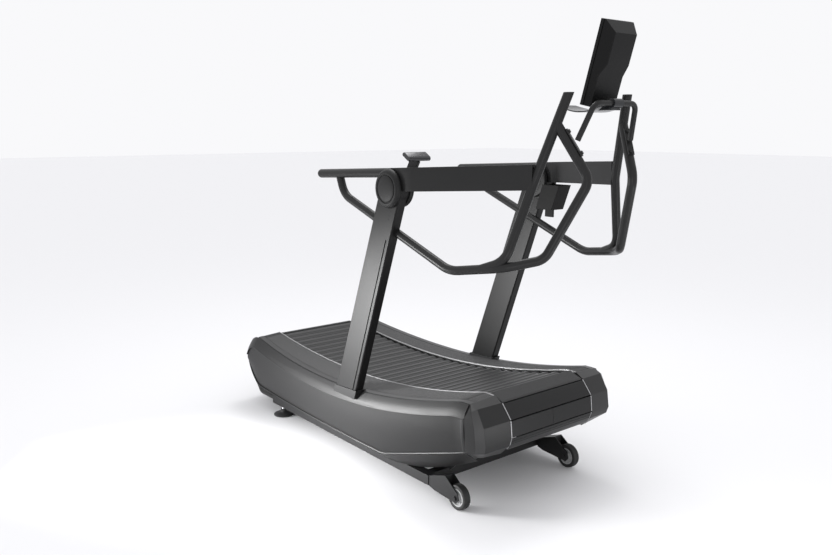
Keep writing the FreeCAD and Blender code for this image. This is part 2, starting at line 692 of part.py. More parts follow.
boot_low = "upright_foot_z"
boot_space = padded("boot_space", "XZ_Plane",
                    boot_outline("fit_clear", f"{boot_low} - fit_clear", "boot_top + 60", "boot_top + 60"),
                    f"{boot_outer} + 30 - ({boot_inner} - fit_clear)", "0",
                    f"-({boot_outer} + 30 + {boot_inner} - fit_clear) / 2", "0")
rail_space = box("rail_space", ("base_rear - fit_clear", "base_front + fit_clear"),
                 ("-(base_half + base_wide / 2 + fit_clear)", "-(base_half - base_wide / 2 - fit_clear)"),
                 ("base_bottom - 40", "base_bottom + base_tall + fit_clear"))
foot_space = cylinder("foot_space", "z", "20", "base_bottom + base_tall", "foot_x", "-base_half", "0")
pair("side_fairing", cut("side_fairing_right", fairing_blank, boot_space, rail_space, foot_space))


def foot_rail():
    """The gridded plate beside the belt: it follows the bed and falls a little to its outer edge."""
    inner = size("belt_half") + size("trim_wide")
    wall = size("foot_rail_wall")
    start = crest(-1).x - 20
    end = size("deck_front") - size("cap_long")
    stations = [start + (end - start) * step / 24 for step in range(25)]
    sections = []
    for x in stations:
        top = bed_height(x)
        outer = half_width(x) - size("cover_wall") - size("fit_clear")
        points = [(inner, top + size("ridge_rise")), (outer, top + 1), (outer, top + 1 - wall),
                  (inner, top + size("ridge_rise") - wall)]
        corners = [Vector(x, -across, up) for across, up in points]
        sections.append(Part.makePolygon(corners + corners[:1]))
    return Part.makeLoft(sections, True, True)


rail_blank = plain_shape("foot_rail_blank", foot_rail())
pair("foot_rail", cut("foot_rail_right", rail_blank, boot_space))

# The nose: four panels across the belt's front, between moulded corner caps.
NOSE = (
    ("deck_front - 117", "front_drum_z + 95"), ("deck_front - 54", "front_drum_z + 72"),
    ("deck_front - 8", "front_drum_z + 17"), ("deck_front", "front_drum_z - 50"),
    ("deck_front - 28", "front_drum_z - 103"),
)
PANELS = ("front_top_plate", "front_upper_panel", "front_middle_panel", "front_lower_panel")


def between(one, two, share):
    return f"({one}) + (({two}) - ({one})) * ({share})"


for name, upper, lower in zip(PANELS, NOSE, NOSE[1:]):
    top = tuple(between(one, two, "panel_gap") for one, two in zip(upper, lower))
    foot_end = tuple(between(one, two, "1 - panel_gap") for one, two in zip(upper, lower))
    back = [(f"({across}) - cover_wall * 0.8", f"({up}) - cover_wall * 0.6") for across, up in (foot_end, top)]
    if name == "front_lower_panel":
        back = [(f"({across}) - cover_wall", f"({up}) + 1") for across, up in (foot_end, top)]
    keep(name, padded(name, "XZ_Plane", [top, foot_end] + back, "2 * belt_half"))


def corner_cap():
    """A corner cap: the nose's outline at the belt drawn out to the side and back, with a closed outer cheek."""
    wall = size("cover_wall")
    front = size("deck_front")
    high = size("front_drum_z")
    back = front - size("cap_long") + size("fit_clear")
    inner_y = size("belt_half") + size("trim_wide")
    outer_y = size("end_half") + 3
    near_belt = [(back, high + 92), (front - 54, high + 72), (front - 8, high + 17), (front, high - 50),
                 (front - 28, high - 103)]
    far_out = [(back, high + 82), (front - 60, high + 73), (front - 29, high + 8), (front - 17, high - 58),
               (front - 56, high - 125)]
    side_y = outer_y + size("band_out") + 1
    side_out = [(back, high + 44), (front - 74, high + 44), (front - 50, high + 4), (front - 43, high - 58),
                (front - 68, high - 110)]
    walls = []
    for across, outline in ((inner_y, near_belt), (outer_y, far_out), (side_y, side_out)):
        inside = [(x - wall, z - wall) for x, z in outline[:-1]] + [(outline[-1][0] - wall, outline[-1][1] + 1)]
        inside[0] = (back, outline[0][1] - wall)
        corners = [Vector(x, -across, z) for x, z in outline + inside[::-1]]
        walls.append(Part.makePolygon(corners + corners[:1]))
    skin = Part.makeLoft(walls, True, True)
    cheek_outline = [Vector(x, -side_y, z) for x, z in side_out + [(back, high - 106)]]
    cheek = Part.Face(Part.makePolygon(cheek_outline + cheek_outline[:1])).extrude(Vector(0, wall, 0))
    return skin.fuse(cheek).removeSplitter()


pair("front_corner", plain_shape("front_corner_right", corner_cap()))


def front_trim():
    """The bright edge strip between the nose panels and a corner cap."""
    front = size("deck_front")
    high = size("front_drum_z")
    outline = [(front - 54, high + 72), (front - 8, high + 17), (front, high - 50), (front - 10, high - 70)]
    inside = [(x - 5, z - 2) for x, z in outline]
    corners = [Vector(x, -size("belt_half") - 0.3, z) for x, z in outline + inside[::-1]]
    face = Part.Face(Part.makePolygon(corners + corners[:1]))
    return face.extrude(Vector(0, -(size("trim_wide") - 0.6), 0))


trim_right = plain_shape("front_trim_right", front_trim())
keep("front_trims", group("front_trims", trim_right, mirrored("front_trim_left", trim_right)))


def rear_cover():
    """The rounded tail cover behind the rear drum."""
    wall = size("cover_wall")
    rear = size("deck_rear")
    middle = size("rear_mid_z")
    outline = []
    for lift in (wall, 0.0):
        points = [Vector(rear + 26, 0, middle + 74 - lift), Vector(rear + lift, 0, middle + 6),
                  Vector(rear + 70, 0, middle - 128 + lift)]
        outline.append(points)
    inner, outer = outline
    edges = [Part.Arc(*outer).toShape(), Part.LineSegment(outer[2], inner[2]).toShape(),
             Part.Arc(*inner[::-1]).toShape(), Part.LineSegment(inner[0], outer[0]).toShape()]
    face = Part.Face(Part.Wire(edges))
    half = size("end_half") - 26
    low_half = size("end_half") - size("belly_in") - 2
    face.translate(Vector(0, -half, 0))
    cover = face.extrude(Vector(0, 2 * half, 0))
    for side in (-1, 1):
        notch = Part.makeBox(300, half - low_half + 5, 300)
        notch.translate(Vector(rear - 50, low_half if side > 0 else -half - 5, middle - 20 - 300))
        cover = cover.cut(notch)
    return cover


keep("rear_cover", plain_shape("rear_cover", rear_cover()))


# ----------------------------------------------------------------------------------------------------- uprights
post = doc.addObject("PartDesign::Body", "upright_post")
post_pad = pad(post, sketch(post, "post_outline", "XZ_Plane",
                 [(leaning("-upright_half", "upright_foot_z"), "upright_foot_z"),
                  (leaning("upright_half", "upright_foot_z"), "upright_foot_z"),
                  (leaning("upright_top_half", "hub_z"), "hub_z"),
                  (leaning("-upright_top_half", "hub_z"), "hub_z")]), "upright_thick")
doc.recompute()
post_round = post.newObject("PartDesign::Fillet", "post_round")
long_edges = [
    f"Edge{count}" for count, edge in enumerate(post_pad.Shape.Edges, 1)
    if abs(edge.tangentAt(edge.FirstParameter).z) > 0.5
]
post_round.Base = (post_pad, long_edges)
post_round.setExpression("Radius", tied("upright_round"))
pocket(post, sketch(post, "channel_outline", "XZ_Plane",
                    [(leaning("upright_half - channel_inset - channel_wide", "upright_foot_z - 5"),
                      "upright_foot_z - 5"),
                     (leaning("upright_half - channel_inset", "upright_foot_z - 5"), "upright_foot_z - 5"),
                     (leaning("upright_top_half - channel_inset + 1", "channel_top"), "channel_top"),
                     (leaning("upright_top_half - channel_inset - channel_wide", "channel_top"),
                      "channel_top")]), "2 * channel_deep")
channel = post.Tip
doc.getObject("channel_outline").AttachmentOffset = FreeCAD.Placement(Vector(0, 0, 0), FreeCAD.Rotation())
doc.getObject("channel_outline").setExpression(".AttachmentOffset.Base.z", tied("upright_thick / 2"))
place(post, "0", "-(upright_inner + upright_thick / 2)", "0")
post_head = cylinder("post_head", "y", "upright_top_half", "upright_thick", "hub_x",
                     "-(upright_inner + upright_thick)", "hub_z")
shoe_ends = (leaning("-upright_half", "upright_foot_z"), leaning("upright_half", "upright_foot_z"))
post_shoe = box("post_shoe", shoe_ends, ("-(upright_inner + 12)", "-(plate_inner + plate_thick)"),
                ("upright_foot_z - 10", "upright_foot_z"))
post_flange = box("post_flange", shoe_ends, ("-(plate_inner + plate_thick + 10)", "-(plate_inner + plate_thick)"),
                  ("upright_foot_z - 56", "upright_foot_z"))
hollow_half = "upright_top_half - upright_wall"
post_hollow = padded("post_hollow", "XZ_Plane",
                     [(leaning(f"-({hollow_half})", "upright_foot_z"), "upright_foot_z"),
                      (leaning(hollow_half, "upright_foot_z"), "upright_foot_z"),
                      (leaning(hollow_half, "hub_z - upright_top_half"), "hub_z - upright_top_half"),
                      (leaning(f"-({hollow_half})", "hub_z - upright_top_half"), "hub_z - upright_top_half")],
                     "upright_thick - 2 * upright_wall", "0", "-(upright_inner + upright_thick / 2)", "0")
post_whole = cut("post_whole", fuse("post_filled", post, post_head, post_shoe, post_flange), post_hollow)

boot_block = padded("boot_block", "XZ_Plane", boot_outline("0", boot_low, "boot_top - 8", "boot_top"),
                    f"{boot_outer} - ({boot_inner})", "0", f"-({boot_outer} + {boot_inner}) / 2", "0")
boot_hole = padded("boot_hole", "XZ_Plane",
                   [(leaning("-upright_half - fit_clear", "upright_foot_z - 20"), "upright_foot_z - 20"),
                    (leaning("upright_half + fit_clear", "upright_foot_z - 20"), "upright_foot_z - 20"),
                    (leaning("upright_half + fit_clear", "boot_top + 20"), "boot_top + 20"),
                    (leaning("-upright_half - fit_clear", "boot_top + 20"), "boot_top + 20")],
                   "upright_thick + 2 * fit_clear", "0", "-(upright_inner + upright_thick / 2)", "0")
boot = cut("boot_right", boot_block, boot_hole)
keep("upright_boots", group("upright_boots", boot, mirrored("boot_left", boot)))

# Hubs: a domed cap on the outer face, a round housing on the inner face.
cap = turned(
    "hub_cap",
    [("0", "0"), ("hub_radius - 5", "0"), ("hub_radius - 5", "-7"), ("hub_radius", "-9"),
     ("hub_radius", "-cap_thick + 9"), ("hub_radius - 4", "-cap_thick + 4"), ("hub_radius - 18", "-cap_thick"),
     ("0", "-cap_thick - 2")],
    "hub_x", "-(upright_inner + upright_thick)", "hub_z",
)
keep("hub_caps", group("hub_caps", cap, mirrored("hub_cap_left", cap)))
housing = turned(
    "hub_housing",
    [("0", "0"), ("hub_radius - 1", "0"), ("hub_radius - 1", "housing_thick - 6"),
     ("hub_radius - 7", "housing_thick"), ("0", "housing_thick")],
    "hub_x", "-upright_inner", "hub_z",
)
lever_bore = cylinder("lever_bore", "y", "lever_pin_radius + running_clear", "housing_thick - 4", "hub_x",
                      "-(upright_inner - 4)", "hub_z")
keep("hub_housings", group("hub_housings", cut("hub_housing_right", housing, lever_bore),
                           mirrored("hub_housing_left", housing)))

# -------------------------------------------------------------------------------------------------- handrail cage
rail_top = "hub_z + 76"
rail_line = "tan(rail_slope)"


def on_rail(x, below):
    """Height of a line parallel to the rail's top edge at x."""
    return f"{rail_top} + (({x}) - hub_x) * {rail_line} - ({below})"


tail_tube = doc.addObject("Part::Cylinder", "tail_tube")
tail_tube.Placement = FreeCAD.Placement(Vector(), FreeCAD.Rotation(Vector(0, 1, 0), 90 - size("rail_slope")))
tail_tube.setExpression("Radius", tied("rail_tube_radius"))
tail_tube.setExpression("Height", tied("(hub_x - rail_rear) / cos(rail_slope)"))
place(tail_tube, "rail_rear", "-rail_y", on_rail("rail_rear", "rail_tube_radius"))
tail_nose = doc.addObject("Part::Sphere", "tail_nose")
tail_nose.setExpression("Radius", tied("rail_tube_radius"))
place(tail_nose, "rail_rear", "-rail_y", on_rail("rail_rear", "rail_tube_radius"))
hub_space = cylinder("hub_space", "y", "upright_top_half + fit_clear", "upright_thick * 3", "hub_x",
                     "-(upright_inner + upright_thick * 2)", "hub_z")
tail_rail = fuse("tail_rail", tail_tube, tail_nose)
tail_bore = doc.addObject("Part::Cylinder", "tail_bore")
tail_bore.Placement = FreeCAD.Placement(Vector(), FreeCAD.Rotation(Vector(0, 1, 0), 90 - size("rail_slope")))
tail_bore.setExpression("Radius", tied("rail_tube_radius - rail_wall"))
tail_bore.setExpression("Height", tied("(hub_x - rail_rear) / cos(rail_slope)"))
place(tail_bore, "rail_rear", "-rail_y", on_rail("rail_rear", "rail_tube_radius"))
pair("handrail", cut("handrail_right", tail_rail, tail_bore, hub_space))

turn = "atan((rail_y - rail_front_y) / (rail_front_x - rail_bend_x))"


def rail_bar(name, half, inset):
    """The bent flat bar: its plan outline met with its side outline, both drawn in by inset."""
    shift = f"({half}) * tan(({turn}) / 2)"
    aside = f"({half}) * sin({turn})"
    ahead = f"({half}) * cos({turn})"
    front = f"rail_front_x - ({inset}) * cos({turn})"
    front_y = f"rail_front_y + ({inset}) * sin({turn})"
    plan = padded(f"{name}_plan", "XY_Plane",
                  [("hub_x", f"-(rail_y + {half})"), (f"rail_bend_x + {shift}", f"-(rail_y + {half})"),
                   (f"{front} + {aside}", f"-({front_y} + {ahead})"),
                   (f"{front} - {aside}", f"-({front_y} - {ahead})"),
                   (f"rail_bend_x - {shift}", f"-(rail_y - ({half}))"), ("hub_x", f"-(rail_y - ({half}))")],
                  "800", "0", "0", "hub_z")
    far = "rail_front_x + 40"
    side = padded(f"{name}_side", "XZ_Plane",
                  [("hub_x", on_rail("hub_x", f"rail_bar_tall - ({inset})")),
                   (far, on_rail(far, f"rail_bar_tall - ({inset})")), (far, on_rail(far, inset)),
                   ("hub_x", on_rail("hub_x", inset))], "2 * (rail_y + 100)")
    return common(name, plan, side)


bar_whole = rail_bar("bar_whole", "rail_bar_half", "0")
bar_bore = rail_bar("bar_bore", "rail_bar_half - rail_wall", "rail_wall")


def cage_points():
    """Corner points of the lower tube and the horn of the right-hand cage."""
    rail_y = -size("rail_y")
    knee = Vector(size("knee_x"), -size("knee_y"), size("knee_z"))
    horn_top = Vector(size("horn_x"), -size("horn_y"), size("horn_top"))
    join = Vector(size("rail_front_x"), -size("rail_front_y"), size("hub_z") + 39)
    low = Vector(size("hub_x") + 285, rail_y + 26, size("hub_z") - 277)
    fork = Vector(knee.x - 202, rail_y + 87, size("knee_z") - 298)
    horn_foot = Vector(knee.x - 195, rail_y + 90, size("knee_z") - 275)
    horn_start = Vector(knee.x - 287, rail_y + 61, size("knee_z") - 311)
    nose = Vector(knee.x - 108, knee.y - 89, size("knee_z") - 268)
    merge = join + (horn_top - join) * 0.66
    start = Vector(size("hub_x") - 371, rail_y + 3, size("hub_z") + 32)
    drop = Vector(size("hub_x") - 344, rail_y + 5, size("hub_z") - 45)
    lower = [start, drop, low, fork, nose, knee, merge]
    overrun = (horn_top - join).normalize() * 25
    return lower, [horn_start, horn_foot, join, horn_top + overrun]


lower_points, horn_points = cage_points()
lower_spine = plain_shape("lower_spine", bent_path(lower_points, (90, 130, 150, 62, 60)))
horn_spine = plain_shape("horn_spine", bent_path(horn_points, (85, 120)))
inner_radius = "tube_radius - tube_wall"
horn_outer = swept("horn_outer", horn_spine, "tube_radius")
horn_inner = swept("horn_inner", horn_spine, inner_radius)
lower_outer = swept("lower_outer", lower_spine, "tube_radius")
lower_inner = swept("lower_inner", lower_spine, inner_radius)
above_horn = box("above_horn", ("horn_x - 80", "horn_x + 80"), ("-horn_y - 80", "-horn_y + 80"),
                 ("horn_top - cap_plate", "horn_top + 80"))
cap_slab = box("cap_slab", ("horn_x - 80", "horn_x + 80"), ("-horn_y - 80", "-horn_y + 80"),
               ("horn_top - cap_plate", "horn_top"))
pair("horn", cut("horn_right", horn_outer, above_horn, horn_inner))
pair("lower_tube", cut("lower_tube_right", lower_outer, horn_outer, tail_rail, lower_inner))
pair("rail_bar", cut("rail_bar_right", bar_whole, bar_bore, hub_space, horn_outer))
pair("upright", cut("upright_right", post_whole, lower_outer))

# The horns are cut level at the top and closed by end caps.
horn_cap = common("horn_cap_right", horn_outer, cap_slab)
keep("horn_caps", group("horn_caps", horn_cap, mirrored("horn_cap_left", horn_cap)))

# The console arch: a thinner bent tube, each foot bolted through a strap to the cage's front tube.
front_way = (lower_points[6] - lower_points[5]).normalize()
strap_middle = lower_points[5] + front_way * 133
leg_top = Vector(size("arch_x"), -size("arch_half"), size("arch_z"))
leg_lean = Vector(-46, -36, -128)
leg_foot = leg_top + leg_lean
outward = leg_foot - strap_middle
outward = (outward - front_way * outward.dot(front_way)).normalize()
strap_middle = strap_middle + outward * (size("tube_radius") + 2.3)
leg_foot = strap_middle + outward * (size("arch_radius") + 2)
left = Vector(1, -1, 1)
arch_spine = plain_shape("arch_spine", bent_path(
    [leg_foot, leg_top, Vector(leg_top.x, -leg_top.y, leg_top.z), Vector(leg_foot.x, -leg_foot.y, leg_foot.z)],
    (size("arch_bend"), size("arch_bend")),
))
strap = doc.addObject("Part::Box", "arch_strap_right")
strap.Length = 22
strap.Width = 4
strap.Height = 104
strap_turn = FreeCAD.Rotation(front_way.cross(outward) * -1, outward, front_way, "ZYX")
strap.Placement = FreeCAD.Placement(strap_middle - front_way * 52 - outward * 2, strap_turn)
strap.Placement.Base = strap.Placement.Base - strap_turn.multVec(Vector(11, 0, 0))
arch_bar = swept("arch_bar", arch_spine, "arch_radius")
keep("arch_tube", fuse("arch_tube", arch_bar, strap, mirrored("arch_strap_left", strap)))

heads = []
for step, along in enumerate((-41, 41), 1):
    head = doc.addObject("Part::Cylinder", f"strap_bolt_{step}")
    head.setExpression("Radius", tied("bolt_head_radius"))
    head.setExpression("Height", tied("bolt_head_tall"))
    head.Placement = FreeCAD.Placement(
        strap_middle + front_way * along + outward * 2, FreeCAD.Rotation(Vector(0, 0, 1), outward)
    )
    heads += [head, mirrored(f"strap_bolt_{step}_left", head)]
keep("arch_bolts", group("arch_bolts", *heads))

# ------------------------------------------------------------------------------------------------ resistance lever
lever_inner = "upright_inner - housing_thick - fit_clear"
lever = doc.addObject("PartDesign::Body", "lever_blade")
pad(lever, sketch(lever, "lever_outline", "XZ_Plane",
                  [("-28", "-10"), ("-16", "-28"), ("16", "-28"), ("28", "-10"), ("lever_wide / 2", "40"),
                   ("lever_wide / 2", "lever_reach - 8"), ("-lever_wide / 2", "lever_reach - 8"),
                   ("-lever_wide / 2", "40")]), "lever_thick")
lever.Placement = FreeCAD.Placement(Vector(), FreeCAD.Rotation(Vector(0, 1, 0), size("lever_lean")))
lever.setExpression(".Placement.Rotation.Angle", tied("lever_lean"))
place(lever, "hub_x", f"-({lever_inner} - lever_thick / 2)", "hub_z")
lever_pin = cylinder("lever_pin", "y", "lever_pin_radius", "housing_thick + lever_thick - 6", "hub_x",
                     "-(upright_inner - 5)", "hub_z")
keep("lever_arm", fuse("lever_arm", lever, lever_pin))
grip = doc.addObject("PartDesign::Body", "lever_grip")
pad(grip, sketch(grip, "grip_outline", "XZ_Plane",
                 [("-21", "lever_reach - 8"), ("21", "lever_reach - 8"), ("24", "lever_reach + 2"),
                  ("17", "lever_reach + 9"), ("-17", "lever_reach + 9"), ("-24", "lever_reach + 2")]),
    "2 * grip_half")
grip.Placement = FreeCAD.Placement(Vector(), FreeCAD.Rotation(Vector(0, 1, 0), size("lever_lean")))
grip.setExpression(".Placement.Rotation.Angle", tied("lever_lean"))
place(grip, "hub_x", f"-({lever_inner} - lever_thick / 2)", "hub_z")
keep("lever_grip", grip)


# --------------------------------------------------------------------------------------------------------- console
def leant(thing):
    """Stands a console piece on the console's lower front edge, leant back by the console's angle."""
    thing.Placement = FreeCAD.Placement(Vector(), FreeCAD.Rotation(Vector(0, 1, 0), size("console_lean")))
    thing.setExpression(".Placement.Rotation.Angle", tied("console_lean"))
    return place(thing, "console_x", "0", "console_z")


back_side = leant(padded("console_side", "XZ_Plane",
                         [("bezel_deep", "0"), ("console_neck", "0"), ("console_neck", "console_tall * 0.37"),
                          ("console_deep", "console_tall * 0.52"), ("console_deep", "console_tall - 34"),
                          ("bezel_deep + 3", "console_tall"), ("bezel_deep", "console_tall")],
                         "2 * console_half"))
back_plan = leant(padded("console_plan", "XY_Plane",
                         [("bezel_deep", "-console_half + 3"), ("console_deep", "-console_back_half"),
                          ("console_deep", "console_back_half"), ("bezel_deep", "console_half - 3")],
                         "3 * console_tall"))
keep("console_back", common("console_back", back_side, back_plan))

bezel = doc.addObject("PartDesign::Body", "console_front")
pad(bezel, sketch(bezel, "bezel_outline", "XZ_Plane",
                  [("0", "0"), ("bezel_deep", "0"), ("bezel_deep", "console_tall"), ("0", "console_tall")]),
    "2 * console_half")
pocket(bezel, sketch(bezel, "screen_recess", "XZ_Plane",
                     [("-1", "screen_low"), ("screen_deep", "screen_low"), ("screen_deep", "screen_high"),
                      ("-1", "screen_high")]), "2 * screen_half")
leant(bezel)
button_holes = []
for step, name in enumerate(("button_start", "button_up", "button_down")):
    well = doc.addObject("PartDesign::Body", f"{name}_well")
    ring = round_sketch(well, f"{name}_well_ring", "YZ_Plane", f"({step} - 1) * button_step", "button_z",
                        "button_radius + fit_clear")
    pad(well, ring, "2 * bezel_deep + 4")
    button_holes.append(leant(well))
    key = doc.addObject("PartDesign::Body", name)
    face = round_sketch(key, f"{name}_ring", "YZ_Plane", f"({step} - 1) * button_step", "button_z",
                        "button_radius")
    made = key.newObject("PartDesign::Pad", f"{name}_pad")
    made.Profile = face
    made.SideType = "Two sides"
    made.setExpression("Length", tied("button_long - button_proud"))
    made.setExpression("Length2", tied("button_proud"))
    keep(name, leant(key))
keep("console_front", cut("console_front_whole", bezel, *button_holes))

glass = padded("console_screen", "XZ_Plane",
               [("0.4", "screen_low"), ("screen_deep", "screen_low"), ("screen_deep", "screen_high"),
                ("0.4", "screen_high")], "2 * screen_half")
keep("console_screen", leant(glass))


def console_tray():
    """The dished shelf under the console, with the clamp that holds the arch's cross bar."""
    wall = size("tray_wall")
    half = size("tray_half")
    rise = size("console_z")
    start = size("console_x") - 104
    end = size("arch_x") - 12
    low = rise - 26
    middle = (start + end) / 2
    outer = Part.Arc(Vector(start, -half, rise - 4), Vector(middle, -half, low), Vector(end, -half, rise - 4))
    inner = Part.Arc(Vector(end, -half, rise - 4 + wall), Vector(middle, -half, low + wall),
                     Vector(start, -half, rise - 4 + wall))
    edges = [outer.toShape(), Part.LineSegment(outer.EndPoint, inner.StartPoint).toShape(), inner.toShape(),
             Part.LineSegment(inner.EndPoint, outer.StartPoint).toShape()]
    dish = Part.Face(Part.Wire(edges)).extrude(Vector(0, 2 * half, 0))
    plan = [Vector(start, -half * 0.45, 0), Vector(start + 26, -half, 0), Vector(end, -half, 0),
            Vector(end, half, 0), Vector(start + 26, half, 0), Vector(start, half * 0.45, 0)]
    plan_block = Part.Face(Part.makePolygon(plan + plan[:1])).extrude(Vector(0, 0, 2 * rise))
    dish = dish.common(plan_block)
    clamp = size("clamp_half")
    bar = Vector(size("arch_x"), -clamp, size("arch_z"))
    collar = Part.makeCylinder(size("arch_radius") + 6, 2 * clamp, bar, Vector(0, 1, 0))
    seat_x = size("console_x") + 6
    neck = Part.makeBox(bar.x - seat_x, 2 * clamp, 14, Vector(seat_x, -clamp, rise - 20))
    bore = Part.makeCylinder(size("arch_radius") + size("running_clear"), 2 * clamp, bar, Vector(0, 1, 0))
    return dish.fuse([collar, neck]).cut(bore).removeSplitter()


tray = plain_shape("console_tray_whole", console_tray())
keep("console_tray", cut("console_tray", tray, back_side, bezel))

# -------------------------------------------------------------------------------------------------- accessory box
holder = doc.addObject("PartDesign::Body", "accessory_box")
slant = "box_tall * tan(upright_lean)"
pad(holder, sketch(holder, "holder_outline", "XZ_Plane",
                   [("0", "0"), ("box_long", "0"), (f"box_long - {slant}", "-box_tall"), (f"-{slant} + 4", "-box_tall")]),
    "box_wide")
pocket(holder, sketch(holder, "holder_hollow", "XZ_Plane",
                      [("box_wall", "5"), ("box_long - box_wall", "5"), ("box_long - box_wall", "0"),
                       (f"box_long - {slant} - box_wall", "-box_tall + box_wall"),
                       (f"-{slant} + 4 + box_wall", "-box_tall + box_wall"), ("box_wall", "0")]),
       "box_wide - 2 * box_wall")
holder_outer = "upright_inner + 18"
place(holder, "box_x", f"{holder_outer} - box_wide / 2", "box_top")
tab = box("holder_tab", ("box_x - 30", "box_x - 2"), (f"{holder_outer} - 6", holder_outer),
          ("box_top - 96", "box_top - 40"))
hanger = box("holder_hanger", ("box_x - 42", "box_x + 4"), (f"{holder_outer} - 8", holder_outer),
             ("box_top - box_tall - 38", "box_top - box_tall"))
post_left_space = mirrored("post_left_space", doc.getObject("upright_right"))
keep("accessory_box", cut("accessory_box_whole", fuse("holder_parts", holder, tab, hanger), post_left_space))

# ------------------------------------------------------------------------------------------------------ write out
doc.recompute()
faults = [thing.Name for thing in doc.Objects if {"Invalid", "Error"} & set(thing.State)]
for label, thing in nodes.items():
    shape = thing.Shape
    if shape.isNull() or not shape.isValid() or not shape.Solids:
        faults.append(label)
if faults:
    raise SystemExit(f"these did not build: {sorted(set(faults))}")
os.makedirs("parts", exist_ok=True)
for label, thing in nodes.items():
    thing.Shape.exportStep(f"parts/{label}.step")
print(len(nodes), "sub-parts written")
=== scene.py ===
import math

import bmesh
import bpy
from mathutils import Matrix, Vector


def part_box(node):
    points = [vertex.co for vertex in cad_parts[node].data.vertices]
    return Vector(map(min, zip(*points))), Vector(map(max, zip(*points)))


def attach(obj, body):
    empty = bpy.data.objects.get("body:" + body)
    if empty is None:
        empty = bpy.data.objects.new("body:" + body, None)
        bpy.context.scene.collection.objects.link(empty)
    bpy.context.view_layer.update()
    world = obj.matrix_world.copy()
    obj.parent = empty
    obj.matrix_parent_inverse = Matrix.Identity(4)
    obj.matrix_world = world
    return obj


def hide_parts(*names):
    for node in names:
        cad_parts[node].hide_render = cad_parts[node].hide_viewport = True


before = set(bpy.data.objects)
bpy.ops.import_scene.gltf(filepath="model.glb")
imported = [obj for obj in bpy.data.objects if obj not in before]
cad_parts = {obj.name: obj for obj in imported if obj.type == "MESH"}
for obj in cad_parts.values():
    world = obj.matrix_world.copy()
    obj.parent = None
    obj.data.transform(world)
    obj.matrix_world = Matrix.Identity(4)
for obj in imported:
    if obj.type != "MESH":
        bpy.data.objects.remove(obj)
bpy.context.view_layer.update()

# ----------------------------------------------------------------------------------------------- studio
# The machine stands on a seamless pale sweep under a large soft tent. A broad lamp hangs overhead, one low lamp
# lights the right side cover, one the right front corner and a weak one the shadow under the nose. The camera
# looks from the front right, a little above the belt.
scene = bpy.context.scene
scene.view_settings.view_transform = "Standard"
camera = bpy.data.objects.new("camera", bpy.data.cameras.new("camera"))
scene.collection.objects.link(camera)
camera.data.sensor_width = 36.0
camera.data.lens = 34.6
camera.data.clip_end = 90.0
camera.location = (2.6986, -2.2101, 1.4215)
camera.rotation_euler = Vector((-0.7655, 0.6168, -0.1835)).to_track_quat("-Z", "Y").to_euler()
scene.camera = camera

world = bpy.data.worlds.new("tent")
scene.world = world
world.use_nodes = True
world.node_tree.nodes["Background"].inputs["Color"].default_value = (0.947, 0.947, 0.963, 1.0)
world.node_tree.nodes["Background"].inputs["Strength"].default_value = 1.0

FLOOR_HALF = 40.0
floor_mesh = bmesh.new()
bmesh.ops.create_grid(floor_mesh, x_segments=1, y_segments=1, size=FLOOR_HALF)
floor_data = bpy.data.meshes.new("floor")
floor_mesh.to_mesh(floor_data)
floor_mesh.free()
floor = bpy.data.objects.new("floor", floor_data)
scene.collection.objects.link(floor)
paper = bpy.data.materials.new("white_paper")
paper.use_nodes = True
paper.node_tree.nodes["Principled BSDF"].inputs["Base Color"].default_value = (0.80, 0.80, 0.812, 1.0)
paper.node_tree.nodes["Principled BSDF"].inputs["Roughness"].default_value = 0.9
paper.node_tree.nodes["Principled BSDF"].inputs["Specular IOR Level"].default_value = 0.1
floor_data.materials.append(paper)


def lamp(name, place, target, size, power, spread=180.0):
    """A square soft lamp aimed at a point."""
    data = bpy.data.lights.new(name, "AREA")
    data.size = size
    data.energy = power
    data.spread = math.radians(spread)
    holder = bpy.data.objects.new(name, data)
    holder.location = place
    holder.rotation_euler = (Vector(target) - Vector(place)).to_track_quat("-Z", "Y").to_euler()
    holder.visible_camera = False
    scene.collection.objects.link(holder)


skylight = bpy.data.lights.new("skylight", "SUN")
skylight.energy = 0.52  # watts per square metre: a soft sun stands for the tent's roof
skylight.angle = math.radians(70)
skylight_holder = bpy.data.objects.new("skylight", skylight)
skylight_holder.rotation_euler = (math.radians(8), math.radians(-14), 0.0)
scene.collection.objects.link(skylight_holder)
lamp("side_lamp", (-1.0, -1.7, 0.42), (0.0, -0.40, 0.26), 0.6, 14.0, 60.0)
lamp("corner_lamp", (2.9, -2.5, 0.40), (0.7, -0.3, 0.20), 0.9, 12.0)
lamp("under_lamp", (2.0, 0.3, 0.16), (0.3, 0.1, 0.0), 0.5, 4.0)
lamp("top_lamp", (-0.6, 0.6, 3.4), (0.0, 0.0, 0.4), 1.2, 26.0)


